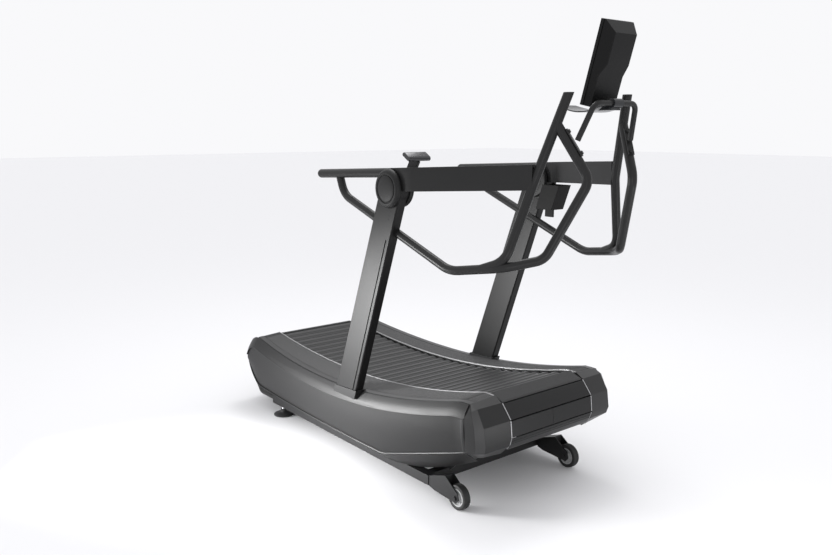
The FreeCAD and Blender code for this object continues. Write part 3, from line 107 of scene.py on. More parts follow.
# --------------------------------------------------------------------------------------------- base frame
# Two square steel tubes lie fore and aft, joined by three cross tubes. They are welded, then powder coated
# in satin black, so edges are soft and the surface has a faint orange-peel texture.
def coat(name, colour, rough, grain=900.0, depth=0.06, mottle=0.12, **sockets):
    """A painted or moulded surface: fine grain in the bump, slow drift in tone and in gloss."""
    made = bpy.data.materials.new(name)
    made.use_nodes = True
    tree = made.node_tree
    shader = tree.nodes["Principled BSDF"]
    shader.inputs["Specular IOR Level"].default_value = 0.30
    for socket, value in sockets.items():
        shader.inputs[socket.replace("_", " ")].default_value = value
    where = tree.nodes.new("ShaderNodeTexCoord")
    drift = tree.nodes.new("ShaderNodeTexNoise")
    drift.inputs["Scale"].default_value = 7.0
    drift.inputs["Detail"].default_value = 5.0
    tree.links.new(where.outputs["Object"], drift.inputs["Vector"])
    tone = tree.nodes.new("ShaderNodeMapRange")
    tone.inputs["To Min"].default_value = 1.0 - mottle
    tone.inputs["To Max"].default_value = 1.0 + mottle
    tree.links.new(drift.outputs["Fac"], tone.inputs["Value"])
    tint = tree.nodes.new("ShaderNodeVectorMath")
    tint.operation = "SCALE"
    tint.inputs[0].default_value = colour
    tree.links.new(tone.outputs["Result"], tint.inputs["Scale"])
    tree.links.new(tint.outputs["Vector"], shader.inputs["Base Color"])
    gloss = tree.nodes.new("ShaderNodeMapRange")
    gloss.inputs["To Min"].default_value = rough - 0.05
    gloss.inputs["To Max"].default_value = rough + 0.05
    tree.links.new(drift.outputs["Fac"], gloss.inputs["Value"])
    tree.links.new(gloss.outputs["Result"], shader.inputs["Roughness"])
    fine = tree.nodes.new("ShaderNodeTexNoise")
    fine.inputs["Scale"].default_value = grain
    fine.inputs["Detail"].default_value = 2.0
    tree.links.new(where.outputs["Object"], fine.inputs["Vector"])
    bump = tree.nodes.new("ShaderNodeBump")
    bump.inputs["Strength"].default_value = depth
    bump.inputs["Distance"].default_value = 0.0006
    tree.links.new(fine.outputs["Fac"], bump.inputs["Height"])
    tree.links.new(bump.outputs["Normal"], shader.inputs["Normal"])
    return made


def settle(bm, name, finish, body, nodes=(), sharp=34.0):
    """Makes a finished bmesh a piece: faces turned out, soft shading between sharp edges, riding on its body."""
    bmesh.ops.recalc_face_normals(bm, faces=bm.faces)
    data = bpy.data.meshes.new(name)
    bm.to_mesh(data)
    bm.free()
    data.materials.append(finish)
    made = bpy.data.objects.new(name, data)
    scene.collection.objects.link(made)
    data.shade_smooth()
    data.set_sharp_from_angle(angle=math.radians(sharp))
    even = made.modifiers.new("even", "WEIGHTED_NORMAL")
    even.keep_sharp = True
    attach(made, body)
    if nodes:
        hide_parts(*nodes)
    return made


def soften(bm, width, segments=2, sharp=24.0):
    """Rounds every hard edge of a shape."""
    hard = [edge for edge in bm.edges if edge.is_manifold and edge.calc_face_angle(0.0) > math.radians(sharp)]
    bmesh.ops.bevel(bm, geom=hard, offset=width, offset_type="OFFSET", segments=segments, profile=0.5,
                    affect="EDGES", clamp_overlap=True, material=-1)


def cad_copy(*nodes):
    """The shapes of some CAD nodes in one bmesh, with their loose triangles joined into whole faces."""
    bm = bmesh.new()
    for node in nodes:
        bm.from_mesh(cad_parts[node].data)
    bmesh.ops.remove_doubles(bm, verts=bm.verts, dist=0.00002)
    bmesh.ops.dissolve_limit(bm, angle_limit=math.radians(0.8), verts=bm.verts, edges=bm.edges)
    return bm


def softened(node, finish, body, width, segments=2):
    """A CAD node with the rounded edges of the real piece."""
    bm = cad_copy(node)
    soften(bm, width, segments)
    return settle(bm, f"{node}_shown", finish, body, (node,))


black_coat = coat("black_coat", (0.012, 0.012, 0.0125), 0.42)
for side in ("left", "right"):
    softened(f"base_rail_{side}", black_coat, "frame", 0.003)
softened("base_cross_tubes", black_coat, "frame", 0.003)

# A black plastic plug closes the rear and front end of each base tube.
RAIL_HALF_Y = 0.316
RAIL_MIDDLE_Z = 0.067
PLUG = (0.010, 0.0339, 0.0339)
for side, sign in (("left", 1), ("right", -1)):
    plugs = bmesh.new()
    for end in (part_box(f"base_rail_{side}")[0][0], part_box(f"base_rail_{side}")[1][0]):
        inward = 0.006 if end < 0 else -0.006
        middle = Matrix.Translation((end + inward, sign * RAIL_HALF_Y, RAIL_MIDDLE_Z))
        bmesh.ops.create_cube(plugs, size=1.0, matrix=middle @ Matrix.Diagonal((*PLUG, 1.0)))
    soften(plugs, 0.0012)
    settle(plugs, f"base_rail_plugs_{side}", black_coat, "frame")

# ------------------------------------------------------------------------------------------ rear lift handle
# A round steel bar bent into a wide U runs across the tail and is welded into the base tubes. It has the same
# coating, a little shinier where hands lift the machine.
handle_coat = coat("handle_coat", (0.012, 0.012, 0.0125), 0.36, depth=0.04)
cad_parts["rear_handle"].data.materials[0] = handle_coat

# -------------------------------------------------------------------------------------------- front wheels
# Each front corner has a forked bracket of pressed plate with a wheel on an axle bolt: a light grey moulded
# rim with round windows, pressed into a solid black rubber tyre.
for side, sign in (("left", 1), ("right", -1)):
    softened(f"wheel_bracket_{side}", black_coat, "frame", 0.0022)
rim_plastic = coat("rim_plastic", (0.36, 0.362, 0.365), 0.36, grain=500.0, depth=0.05)
tyre_rubber = coat("tyre_rubber", (0.016, 0.016, 0.016), 0.62, grain=1400.0, depth=0.14)
zinc = coat("zinc_plate", (0.5, 0.5, 0.52), 0.32, grain=1600.0, depth=0.04, Metallic=1.0)
WHEEL = Vector((0.602, 0.311, 0.050))
TYRE_OUTLINE = ((0.0350, -0.0140), (0.0385, -0.0158), (0.0450, -0.0160), (0.0484, -0.0140), (0.0497, -0.0090),
                (0.0500, -0.0030), (0.0488, -0.0022), (0.0488, 0.0022), (0.0500, 0.0030), (0.0497, 0.0090),
                (0.0484, 0.0140), (0.0450, 0.0160), (0.0385, 0.0158), (0.0350, 0.0140))


def ring(outline, centre, steps=72, closed=True):
    """A shape spun about an axis along Y: its outline is radius and place along the axis."""
    bm = bmesh.new()
    row = [bm.verts.new((centre[0] + radius, centre[1] + along, centre[2])) for radius, along in outline]
    edges = [bm.edges.new(pair) for pair in zip(row, row[1:])]
    if closed:
        edges.append(bm.edges.new((row[-1], row[0])))
    bmesh.ops.spin(bm, geom=row + edges, cent=centre, axis=(0, 1, 0), angle=math.tau, steps=steps, use_merge=True)
    bmesh.ops.remove_doubles(bm, verts=bm.verts, dist=0.00001)
    return bm


def hex_bolt(bm, place, axis, across, tall, washer=0.0):
    """A hexagon head, chamfered on top, with a washer under it if it has one."""
    turn = Vector(axis).to_track_quat("Z", "Y").to_matrix().to_4x4()
    base = Matrix.Translation(place) @ turn
    if washer:
        bmesh.ops.create_cone(bm, cap_ends=True, segments=28, radius1=across * 0.78, radius2=across * 0.76,
                              depth=washer, matrix=base @ Matrix.Translation((0, 0, washer / 2)))
    flank, chamfer = tall * 0.78, tall * 0.22
    for start, long, wide, narrow in ((washer, flank, 0.577, 0.577), (washer + flank, chamfer, 0.577, 0.5)):
        bmesh.ops.create_cone(bm, cap_ends=True, segments=6, radius1=across * wide, radius2=across * narrow,
                              depth=long, matrix=base @ Matrix.Translation((0, 0, start + long / 2)))


AXLE_RADIUS = 0.006
AXLE_LONG = 0.044
axle = bmesh.new()
for side, sign in (("left", 1), ("right", -1)):
    centre = Vector((WHEEL.x, sign * WHEEL.y, WHEEL.z))
    settle(ring(TYRE_OUTLINE, centre), f"tyre_{side}", tyre_rubber, f"wheel_{side}",
           (f"wheel_tyre_{side}",))
    softened(f"wheel_rim_{side}", rim_plastic, f"wheel_{side}", 0.0008)
    bmesh.ops.create_cone(axle, cap_ends=True, segments=32, radius1=AXLE_RADIUS, radius2=AXLE_RADIUS,
                          depth=AXLE_LONG, matrix=Matrix.Translation(centre) @ Matrix.Rotation(math.pi / 2, 4, "X"))
    for out in (-1, 1):
        hex_bolt(axle, centre + Vector((0, out * AXLE_LONG / 2, 0)), (0, out, 0), 0.0155, 0.005, 0.0008)
settle(axle, "axle_bolts_shown", handle_coat, "frame", ("axle_bolts",))

# ------------------------------------------------------------------------------------------ levelling feet
# Wide rubber-faced pads on threaded stems hold the tail level. Each pad is one turned shape, and the stem above
# it is a stack of thin cones that reads as a thread.
FOOT = Vector((-0.716, 0.316, 0.0))
FOOT_OUTLINE = ((0.0, 0.0), (0.0470, 0.0), (0.0490, 0.0016), (0.0490, 0.0060), (0.0465, 0.0082), (0.0410, 0.0106),
                (0.0300, 0.0135), (0.0195, 0.0160), (0.0160, 0.0185), (0.0150, 0.0220), (0.0150, 0.0310),
                (0.0142, 0.0318), (0.0, 0.0318))
THREAD_LOW = 0.0200
THREAD_PITCH = 0.00205
THREAD_TURNS = 30
foot_rubber = coat("foot_rubber", (0.026, 0.026, 0.027), 0.58, grain=1100.0, depth=0.12)
for side, sign in (("left", 1), ("right", -1)):
    pad = bmesh.new()
    row = [pad.verts.new((FOOT.x + radius, sign * FOOT.y, up)) for radius, up in FOOT_OUTLINE]
    edges = [pad.edges.new(pair) for pair in zip(row, row[1:])]
    bmesh.ops.spin(pad, geom=row + edges, cent=(FOOT.x, sign * FOOT.y, 0), axis=(0, 0, 1), angle=math.tau,
                   steps=64, use_merge=True)
    bmesh.ops.remove_doubles(pad, verts=pad.verts, dist=0.00001)
    settle(pad, f"level_foot_{side}_shown", foot_rubber, f"foot_{side}", (f"level_foot_{side}",))
    stem = bmesh.new()
    for turn in range(THREAD_TURNS):
        place = Matrix.Translation((FOOT.x, sign * FOOT.y, THREAD_LOW + THREAD_PITCH * turn))
        bmesh.ops.create_cone(stem, cap_ends=True, segments=20, radius1=0.0099, radius2=0.0088, depth=0.0021,
                              matrix=place)
    settle(stem, f"level_stem_{side}", zinc, f"foot_{side}")

# ------------------------------------------------------------------------------------- running gear, hidden
# Behind the covers, steel side plates carry the drum shafts in ball bearings and two rows of guide rollers.
# The drums are turned aluminium, and a disc with a magnet yoke brakes the front one.
plate_coat = coat("plate_coat", (0.012, 0.012, 0.012), 0.5)
ground_steel = coat("ground_steel", (0.52, 0.52, 0.54), 0.3, grain=2200.0, depth=0.05, Metallic=1.0)
turned_metal = coat("turned_metal", (0.62, 0.62, 0.64), 0.34, grain=1800.0, depth=0.05, Metallic=1.0)
for node, finish in (("deck_plate_left", plate_coat), ("deck_plate_right", plate_coat),
                     ("guide_rollers", ground_steel), ("drum_bearings", ground_steel),
                     ("front_drum", turned_metal), ("rear_drum", turned_metal), ("brake_disc", turned_metal),
                     ("magnet_yoke", black_coat)):
    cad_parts[node].data.materials[0] = finish

# ------------------------------------------------------------------------------------------- slatted belt
# The running surface is a loop of rubber-coated slats, each with one raised rib across it. The slats lie on
# the dipped bed and wrap the drums.
slat_rubber = coat("slat_rubber", (0.027, 0.027, 0.0272), 0.47, grain=1300.0, depth=0.22, mottle=0.08)
softened("slat_belt", slat_rubber, "frame", 0.0018)

# ---------------------------------------------------------------------------------------------- side covers
# One-piece moulded covers run the length of the bed. Each has a dark upper band, a sharp raised crease, a
# recessed main panel and a belly that turns under. In plan they are barrel-shaped, widest by the uprights.
FRONT_DRUM = Vector((0.668, 0.0, 0.368))
REAR_DRUM = Vector((-0.890, 0.0, 0.286))
DIP = Vector((-0.261, 0.0, 0.328))
WRAP = 0.085
TAIL = -1.005
NOSE = 0.788
COVER_FRONT = NOSE - 0.092
TAIL_MIDDLE = 0.262
LOW_EDGE = 0.073
MOULD_WALL = 0.0035


def bed_radius(drum):
    """Radius of the running surface on one side of the dip, tangent to the drum's wrap."""
    away, rise = drum.x - DIP.x, drum.z - DIP.z
    return (away**2 + rise**2 - WRAP**2) / (2 * (rise + WRAP))


def bed(x):
    """Height of the running surface at a place along the bed."""
    drum = FRONT_DRUM if x > DIP.x else REAR_DRUM
    radius = bed_radius(drum)
    centre = DIP + Vector((0, 0, radius))
    crest = (centre + (drum - centre).normalized() * radius).x
    x = min(x, crest) if drum is FRONT_DRUM else max(x, crest)
    return DIP.z + radius - math.sqrt(radius**2 - (x - DIP.x) ** 2)


def half_width(x):
    """Half the width of the covers at their upper edge."""
    end = NOSE if x > 0.009 else TAIL
    return 0.389 - 0.044 * ((x - 0.009) / (end - 0.009)) ** 2


def ridge(x):
    """Height of the covers' upper edge: level with the belt, rounded down at the tail."""
    share = min(max((REAR_DRUM.x - x) / (REAR_DRUM.x - TAIL), 0.0), 1.0)
    return TAIL_MIDDLE + (bed(x) - TAIL_MIDDLE) * math.sqrt(max(1.0 - share**2, 0.0))


def belly(x):
    """Height of the covers' lowest edge: level along the base, swept up to the nose and the tail."""
    if x > 0.199:
        return LOW_EDGE + 0.170 * ((x - 0.199) / (NOSE - 0.254)) ** 1.7
    if x < TAIL + 0.255:
        share = min((TAIL + 0.255 - x) / 0.255, 1.0)
        rise = TAIL_MIDDLE - 0.008 - LOW_EDGE
        return LOW_EDGE + rise * (0.1 * share + 0.9 * (1.0 - math.sqrt(1.0 - share**2)))
    return LOW_EDGE


def skirt(x):
    """Height of the main panel's lower edge."""
    if x > 0.229:
        return 0.120 + 0.148 * (x - 0.229) / (COVER_FRONT - 0.229)
    return max(0.120, belly(x) + 0.014)


BAND_TALL = 0.048


def cover_section(x):
    """Outline of the cover's outer face, from its upper hem to its lower hem: distance out and height."""
    top, low, out = ridge(x), belly(x), half_width(x)
    drop = min(BAND_TALL, 0.42 * (top - low))
    share = drop / BAND_TALL
    crease = out + 0.025 * share
    edge = top - drop
    foot = min(skirt(x), edge - 0.008)
    recess = 0.0045 * min(1.0, max(0.0, (COVER_FRONT - 0.012 - x) / 0.010)) * share
    points = [
        (out - 0.006, top - 0.007), (out - 0.0055, top - 0.0015), (out - 0.003, top), (out + 0.001, top - 0.0010),
        (out + 0.0095 * share, top - drop * 0.30), (out + 0.0175 * share, top - drop * 0.60),
        (crease - 0.0022, edge + 0.0045), (crease - 0.0006, edge + 0.0020), (crease, edge),
        (crease, edge - 0.0030), (crease - 0.0008, edge - 0.0040), (crease - 0.0008 - recess, edge - 0.0046),
    ]
    head, base = points[-1], (out + 0.012 - recess, foot + 0.0060)
    for step in range(1, 7):
        along = step / 7
        bulge = 0.005 * math.sin(math.pi * along) * share
        points.append((head[0] + (base[0] - head[0]) * along + bulge, head[1] + (base[1] - head[1]) * along))
    points += [base, (out + 0.012 - recess * 0.1, foot + 0.0052), (out + 0.0125, foot + 0.0030),
               (out + 0.0120, foot), (out + 0.0090, foot - 0.0022)]
    hem, inner = points[-1], out - 0.050
    for step in range(1, 5):
        points.append((hem[0] + (inner - hem[0]) * step / 5, hem[1] + (low - hem[1]) * step / 5))
    points += [(inner, low), (inner - 0.002, low + 0.0015), (inner - 0.002, low + 0.008)]
    return points


def drawn(bm, rows, closed=False):
    """A skin drawn through rows of points, bridged row to row."""
    loops = []
    for row in rows:
        verts = [bm.verts.new(point) for point in row]
        loops.append([bm.edges.new(pair) for pair in zip(verts, verts[1:] + (verts[:1] if closed else []))])
    for one, two in zip(loops, loops[1:]):
        bmesh.ops.bridge_loops(bm, edges=one + two)
    return loops


def thickened(bm, wall):
    """Gives a skin its wall, inwards."""
    bmesh.ops.recalc_face_normals(bm, faces=bm.faces)
    bmesh.ops.solidify(bm, geom=bm.faces[:], thickness=wall)


cover_plastic = coat("cover_plastic", (0.013, 0.013, 0.0132), 0.40, grain=1500.0, depth=0.10, mottle=0.05,
                     Specular_IOR_Level=0.20)
tail_start = TAIL + 0.006
stations = [tail_start + (REAR_DRUM.x - tail_start) * (1 - math.cos(math.pi / 2 * step / 12)) for step in range(12)]
stations += [REAR_DRUM.x + (COVER_FRONT - 0.022 - REAR_DRUM.x) * step / 44 for step in range(45)]
stations += [COVER_FRONT - 0.012, COVER_FRONT - 0.007, COVER_FRONT - 0.002, COVER_FRONT]
LEAN = math.radians(20.4)
HUB = Vector((0.316, 0.0, 1.201))
BOOT_HALF = 0.0785
BOOT_LOW = 0.3118
BOOT_INNER = 0.3657


def cut_round_boot(bm, sign, inner_edge=False):
    """Cuts away what lies where the upright's collar stands."""
    across = Vector((1.0, 0.0, -math.tan(LEAN)))
    planes = [(HUB - Vector((BOOT_HALF, 0, 0)), across), (HUB + Vector((BOOT_HALF, 0, 0)), across),
              (Vector((0, 0, BOOT_LOW)), Vector((0, 0, 1)))]
    if inner_edge:
        planes[2] = (Vector((0, sign * BOOT_INNER, 0)), Vector((0, 1, 0)))
    for point, normal in planes:
        bmesh.ops.bisect_plane(bm, geom=bm.verts[:] + bm.edges[:] + bm.faces[:], dist=1e-6, plane_co=point,
                               plane_no=normal)
    inside = []
    for face in bm.faces:
        middle = face.calc_center_median()
        if abs((middle - HUB).dot(across)) < BOOT_HALF and middle.z > BOOT_LOW and abs(middle.y) > BOOT_INNER:
            inside.append(face)
    bmesh.ops.delete(bm, geom=inside, context="FACES")


for side, sign in (("left", 1), ("right", -1)):
    cover = bmesh.new()
    drawn(cover, [[Vector((x, sign * out, up)) for out, up in cover_section(x)] for x in stations])
    cut_round_boot(cover, sign)
    thickened(cover, MOULD_WALL)
    settle(cover, f"side_cover_{side}", cover_plastic, "frame", (f"side_fairing_{side}",), 30.0)

# ------------------------------------------------------------------------------------------------ foot rails
# A moulded tread plate lies along each side of the belt. Its middle has a fine cross-hatched grip, a satin
# silver strip edges it by the belt, and a smooth dark band meets the side cover.
RAIL_INNER = 0.226
EDGE_OUTER = 0.2302
GRIP_INNER = 0.2305
BAND_WIDE = 0.034
grip_plastic = coat("grip_plastic", (0.060, 0.060, 0.0605), 0.42, grain=1500.0, depth=0.10, mottle=0.06)
edge_silver = coat("edge_silver", (0.36, 0.36, 0.365), 0.36, grain=2200.0, depth=0.05, Metallic=0.6)
band_plastic = coat("band_plastic", (0.020, 0.020, 0.0203), 0.37, grain=1500.0, depth=0.07, mottle=0.05)


def rail_level(x, across):
    """Height of the tread plate: highest by the belt, falling a little to the cover's edge."""
    outer = half_width(x) - 0.0045
    share = (across - RAIL_INNER) / (outer - RAIL_INNER)
    return bed(x) + 0.009 - 0.008 * share


def rail_strip(side_sign, start, end, low, high, lift, wall):
    """A long strip of the tread plate between two distances from the centre line."""
    bm = bmesh.new()
    rows = []
    for step in range(41):
        x = start + (end - start) * step / 40
        near = low(x)
        far = high(x)
        rim = min(0.0012, wall / 2)
        outline = [(near, lift - wall), (near, lift - rim), (near + rim, lift),
                   (far - rim, lift), (far, lift - rim), (far, lift - wall)]
        rows.append([Vector((x, side_sign * across, rail_level(x, across) + up)) for across, up in outline])
    loops = drawn(bm, rows, closed=True)
    for loop in (loops[0], loops[-1]):
        bmesh.ops.contextual_create(bm, geom=loop)
    return bm


RAIL_BACK, RAIL_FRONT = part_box("foot_rail_left")[0][0] + 0.002, COVER_FRONT
for side, sign in (("left", 1), ("right", -1)):
    strips = (
        ("foot_rail", grip_plastic, "grid_plastic", lambda x: GRIP_INNER, lambda x: half_width(x) - BAND_WIDE,
         -0.0012, 0.0030, (f"foot_rail_{side}",)),
        ("foot_rail_edge", edge_silver, "trim_silver", lambda x: RAIL_INNER, lambda x: EDGE_OUTER,
         0.0008, 0.0050, ()),
        ("foot_rail_band", band_plastic, "cover_charcoal", lambda x: half_width(x) - (BAND_WIDE - 0.0005),
         lambda x: half_width(x) - 0.0065, 0.0, 0.0035, ()),
    )
    for name, finish, slot, low, high, lift, wall, nodes in strips:
        strip = rail_strip(sign, RAIL_BACK, RAIL_FRONT, low, high, lift, wall)
        cut_round_boot(strip, sign, inner_edge=True)
        bmesh.ops.holes_fill(strip, edges=[edge for edge in strip.edges if edge.is_boundary], sides=0)
        settle(strip, f"{name}_{side}_shown", finish, "frame", nodes)

# The grip itself: a lattice of low ridges moulded on the tread plate, seven and a half millimetres apart.
# The pockets between the ridges are painted near black as painted shade.
LATTICE = 0.0075
RIDGE_HALF = 0.0013
POCKET_DEEP = 0.0009
# Painted shade: the pockets' finish is near black, standing for the shade in the hollows between the ridges.
pocket_painted_shade = coat("pocket_painted_shade", (0.006, 0.006, 0.0061), 0.55, grain=1500.0, depth=0.10)


def latticed(bm, name):
    """Turns each face of a skin into a ridge round a pocket that is painted darker as painted shade."""
    bmesh.ops.recalc_face_normals(bm, faces=bm.faces)
    if sum(face.normal.z for face in bm.faces) < 0:
        bmesh.ops.reverse_faces(bm, faces=bm.faces)
    wide = [face for face in bm.faces if face.calc_area() > 0.00002]
    bmesh.ops.inset_individual(bm, faces=wide, thickness=RIDGE_HALF, depth=-POCKET_DEEP)
    for face in wide:
        face.material_index = 1
    data = bpy.data.meshes.new(name)
    bm.to_mesh(data)
    bm.free()
    for finish in (grip_plastic, pocket_painted_shade):
        data.materials.append(finish)
    made = bpy.data.objects.new(name, data)
    scene.collection.objects.link(made)
    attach(made, "frame")


for side, sign in (("left", 1), ("right", -1)):
    lattice = bmesh.new()
    rows = []
    count = round((RAIL_FRONT - 0.006 - RAIL_BACK - 0.004) / LATTICE)
    for step in range(count + 1):
        x = RAIL_BACK + 0.004 + LATTICE * step
        near, far = GRIP_INNER + 0.0025, half_width(x) - BAND_WIDE - 0.0025
        places = [near + (far - near) * share / 20 for share in range(21)]
        rows.append([Vector((x, sign * out, rail_level(x, out) - 0.0006)) for out in places])
    drawn(lattice, rows)
    cut_round_boot(lattice, sign, inner_edge=True)
    latticed(lattice, f"foot_rail_lattice_{side}")

# ------------------------------------------------------------------------------------------------- nose panels
# Four moulded strips close the front between the corner caps: a light textured top plate, then an upper, a
# middle and a lower panel. The middle one is in two halves, and the lower one has two moulded lines and
# curls under. Shadow gaps part them.
NOSE_LINE = ((0.671, 0.463), (0.734, 0.440), (0.780, 0.385), (0.788, 0.318), (0.760, 0.265))
PANEL_HALF = 0.2215
sparkle = coat("top_plate_coat", (0.030, 0.030, 0.0305), 0.5, grain=700.0, depth=0.5, mottle=0.1)
nose_plastic = coat("nose_plastic", (0.010, 0.010, 0.0102), 0.36, grain=1500.0, depth=0.06, mottle=0.05,
                    Specular_IOR_Level=0.22)


def front_panel(name, finish, node, profile, spans, wall=MOULD_WALL):
    """A panel drawn across the nose from its side profile."""
    bm = bmesh.new()
    for low, high in spans:
        drawn(bm, [[Vector((x, across, z)) for x, z in profile] for across in (low, high)])
    bmesh.ops.recalc_face_normals(bm, faces=bm.faces)
    if sum(face.normal.x + face.normal.z for face in bm.faces) < 0:
        bmesh.ops.reverse_faces(bm, faces=bm.faces)
    bmesh.ops.solidify(bm, geom=bm.faces[:], thickness=wall)
    soften(bm, 0.0009, 2, 40.0)
    settle(bm, name, finish, "frame", (node,))


def run(one, two, *shares):
    """Points part of the way between two corners of the nose's profile."""
    return [tuple(a + (b - a) * share for a, b in zip(one, two)) for share in shares]


WHOLE = ((-PANEL_HALF, PANEL_HALF),)
front_panel("front_top_plate_shown", sparkle, "front_top_plate",
            run(NOSE_LINE[0], NOSE_LINE[1], 0.02, 0.9) + [(0.7325, 0.4392)], WHOLE)
WEAVE_HALF = 0.217
weave = bmesh.new()
drawn(weave, [[Vector((x, -WEAVE_HALF + 2 * WEAVE_HALF * share / 70, z + 0.0004)) for share in range(71)]
              for x, z in run(NOSE_LINE[0], NOSE_LINE[1], *(0.06 + 0.094 * step for step in range(10)))])
# The top plate's lattice pockets carry the same painted shade.
latticed(weave, "top_plate_lattice")
front_panel("front_upper_panel_shown", nose_plastic, "front_upper_panel",
            [(0.7338, 0.4350)] + run(NOSE_LINE[1], NOSE_LINE[2], 0.12, 0.5, 0.9) + [(0.7788, 0.3862)], WHOLE)
front_panel("front_middle_panel_shown", nose_plastic, "front_middle_panel",
            [(0.7796, 0.3818)] + run(NOSE_LINE[2], NOSE_LINE[3], 0.1, 0.5, 0.94) + [(0.7872, 0.3208)],
            ((-PANEL_HALF, -0.0006), (0.0006, PANEL_HALF)))
lower_profile = [(0.7862, 0.3165), (0.7852, 0.3085), (0.7835, 0.3078), (0.7828, 0.3052), (0.7838, 0.3042),
                 (0.7815, 0.2975), (0.7798, 0.2968), (0.7792, 0.2942), (0.7798, 0.2932), (0.7745, 0.2840),
                 (0.7680, 0.2730), (0.7600, 0.2655), (0.7500, 0.2610)]
front_panel("front_lower_panel_shown", nose_plastic, "front_lower_panel", lower_profile, WHOLE)

# --------------------------------------------------------------------------------------------- corner caps
# A moulded cap wraps each front corner from the tread plate round to the side cover: dark front facets in line with
# the nose panels, a top facet and a corner bevel painted lighter as a painted highlight, and a cheek like the side
# cover.
END = cover_section(COVER_FRONT)
CAP_ROWS = (
    # the edge by the nose panels, the outer corner, the side's front edge, the side cover's front end
    ((0.6965, 0.2265, 0.4600), (0.6965, 0.3350, 0.4525), (0.6965, 0.3470, 0.4512), END[2]),
    ((0.7340, 0.2265, 0.4400), (0.7280, 0.3430, 0.4385), (0.7180, 0.3630, 0.4310), END[6]),
    ((0.7805, 0.2265, 0.3850), (0.7660, 0.3450, 0.3780), (0.7420, 0.3700, 0.3720), END[11]),
    ((0.7880, 0.2265, 0.3180), (0.7760, 0.3450, 0.3100), (0.7490, 0.3690, 0.3070), END[16]),
    ((0.7790, 0.2265, 0.2880), (0.7690, 0.3410, 0.2830), (0.7430, 0.3650, 0.2800), END[20]),
    ((0.7340, 0.2265, 0.2440), (0.7230, 0.3080, 0.2450), (0.7110, 0.3200, 0.2450), END[26]),
)
CAP_ROWS = [row[:3] + ((COVER_FRONT + 0.0004, *row[3]),) for row in CAP_ROWS]
cap_plastic = coat("cap_plastic", (0.013, 0.013, 0.0132), 0.38, grain=1500.0, depth=0.07, mottle=0.05,
                   Specular_IOR_Level=0.26)
# A lighter copy of the cap's plastic: a painted highlight for the top facet and the corner bevel.
cap_painted_highlight = coat("cap_painted_highlight", (0.040, 0.040, 0.0404), 0.42, grain=1500.0, depth=0.07, mottle=0.05)
for side, sign in (("left", 1), ("right", -1)):
    cap = bmesh.new()
    drawn(cap, [[Vector((x, sign * out, up)) for x, out, up in row] for row in CAP_ROWS])
    cap.verts.index_update()
    # The top facet and the outer corner bevel take the painted highlight; the cheek takes the side cover's finish.
    for face in cap.faces:
        corners = [divmod(vert.index, 4) for vert in face.verts]
        if all(column in (2, 3) for row, column in corners):
            face.material_index = 2
        elif all(column in (1, 2) for row, column in corners):
            face.material_index = 1
        elif all(row < 2 and column < 3 for row, column in corners):
            face.material_index = 1
    thickened(cap, MOULD_WALL)
    soften(cap, 0.0020, 2, 26.0)
    made = settle(cap, f"front_corner_{side}_shown", cap_plastic, "frame",
                  (f"front_corner_{side}",), 50.0)
    made.data.materials.append(cap_painted_highlight)
    made.data.materials.append(cover_plastic)

# Bright strips stand between the nose panels and the caps, following the nose.
TRIM_LINES = (((0.7355, 0.4388), (0.7600, 0.4100), (0.7792, 0.3866)),
              ((0.7805, 0.3825), (0.7842, 0.3500), (0.7872, 0.3210)),
              ((0.7862, 0.3160), (0.7790, 0.2920), (0.7640, 0.2700)))
TRIM_INNER = 0.2222
TRIM_WIDE = 0.0036
trims = bmesh.new()
for sign in (1, -1):
    for line in TRIM_LINES:
        inner = [Vector((x, sign * TRIM_INNER, z)) for x, z in line]
        drawn(trims, [inner, [point + Vector((0, sign * TRIM_WIDE, 0)) for point in inner]])
bmesh.ops.recalc_face_normals(trims, faces=trims.faces)
for face in trims.faces:
    if face.normal.x + face.normal.z < 0:
        face.normal_flip()
bmesh.ops.solidify(trims, geom=trims.faces[:], thickness=0.0040)
soften(trims, 0.0006, 2, 40.0)
bright = coat("bright_strip", (0.42, 0.42, 0.43), 0.3, grain=2200.0, depth=0.04, Metallic=0.7)
settle(trims, "front_trims_shown", bright, "frame", ("front_trims",))

# --------------------------------------------------------------------------------------------------- tail cover
# A rolled cover closes the tail behind the rear drum, with a shallow step along its upper and lower edge.
softened("rear_cover", cover_plastic, "frame", 0.0012)

# ------------------------------------------------------------------------------------------------------ uprights
# Each upright is a leaning box of pressed and welded steel with rounded edges. A channel runs down the front of its
# outer face, with short slots above it, drawn as thin near-black plates in painted shade. A moulded collar hides
# the foot.
column_coat = coat("column_coat", (0.009, 0.009, 0.0091), 0.36, grain=1000.0, depth=0.05, mottle=0.06,
                   Specular_IOR_Level=0.16)
collar_plastic = coat("collar_plastic", (0.014, 0.014, 0.0142), 0.42, grain=1400.0, depth=0.08,
                      Specular_IOR_Level=0.20)
for side in ("left", "right"):
    softened(f"upright_{side}", column_coat, "frame", 0.0012)
softened("upright_boots", collar_plastic, "frame", 0.0035, 3)

UP = Vector((math.sin(LEAN), 0.0, math.cos(LEAN)))
SLOT = (0.012, 0.0006, 0.0030)
# Painted shade: each slot is a thin near-black plate on the face, standing for the shadow inside the slot.
slot_painted_shade = coat("slot_painted_shade", (0.008, 0.008, 0.008), 0.6)
marks = bmesh.new()
for sign in (1, -1):
    for down in (0.092, 0.108, 0.124):
        place = HUB - UP * down + Vector((0.030, sign * 0.41405, 0.0))
        turn = Matrix.Rotation(LEAN, 4, "Y")
        bmesh.ops.create_cube(marks, size=1.0,
                              matrix=Matrix.Translation(place) @ turn @ Matrix.Diagonal((*SLOT, 1.0)))
soften(marks, 0.0002, 1)
settle(marks, "upright_slots", slot_painted_shade, "frame")

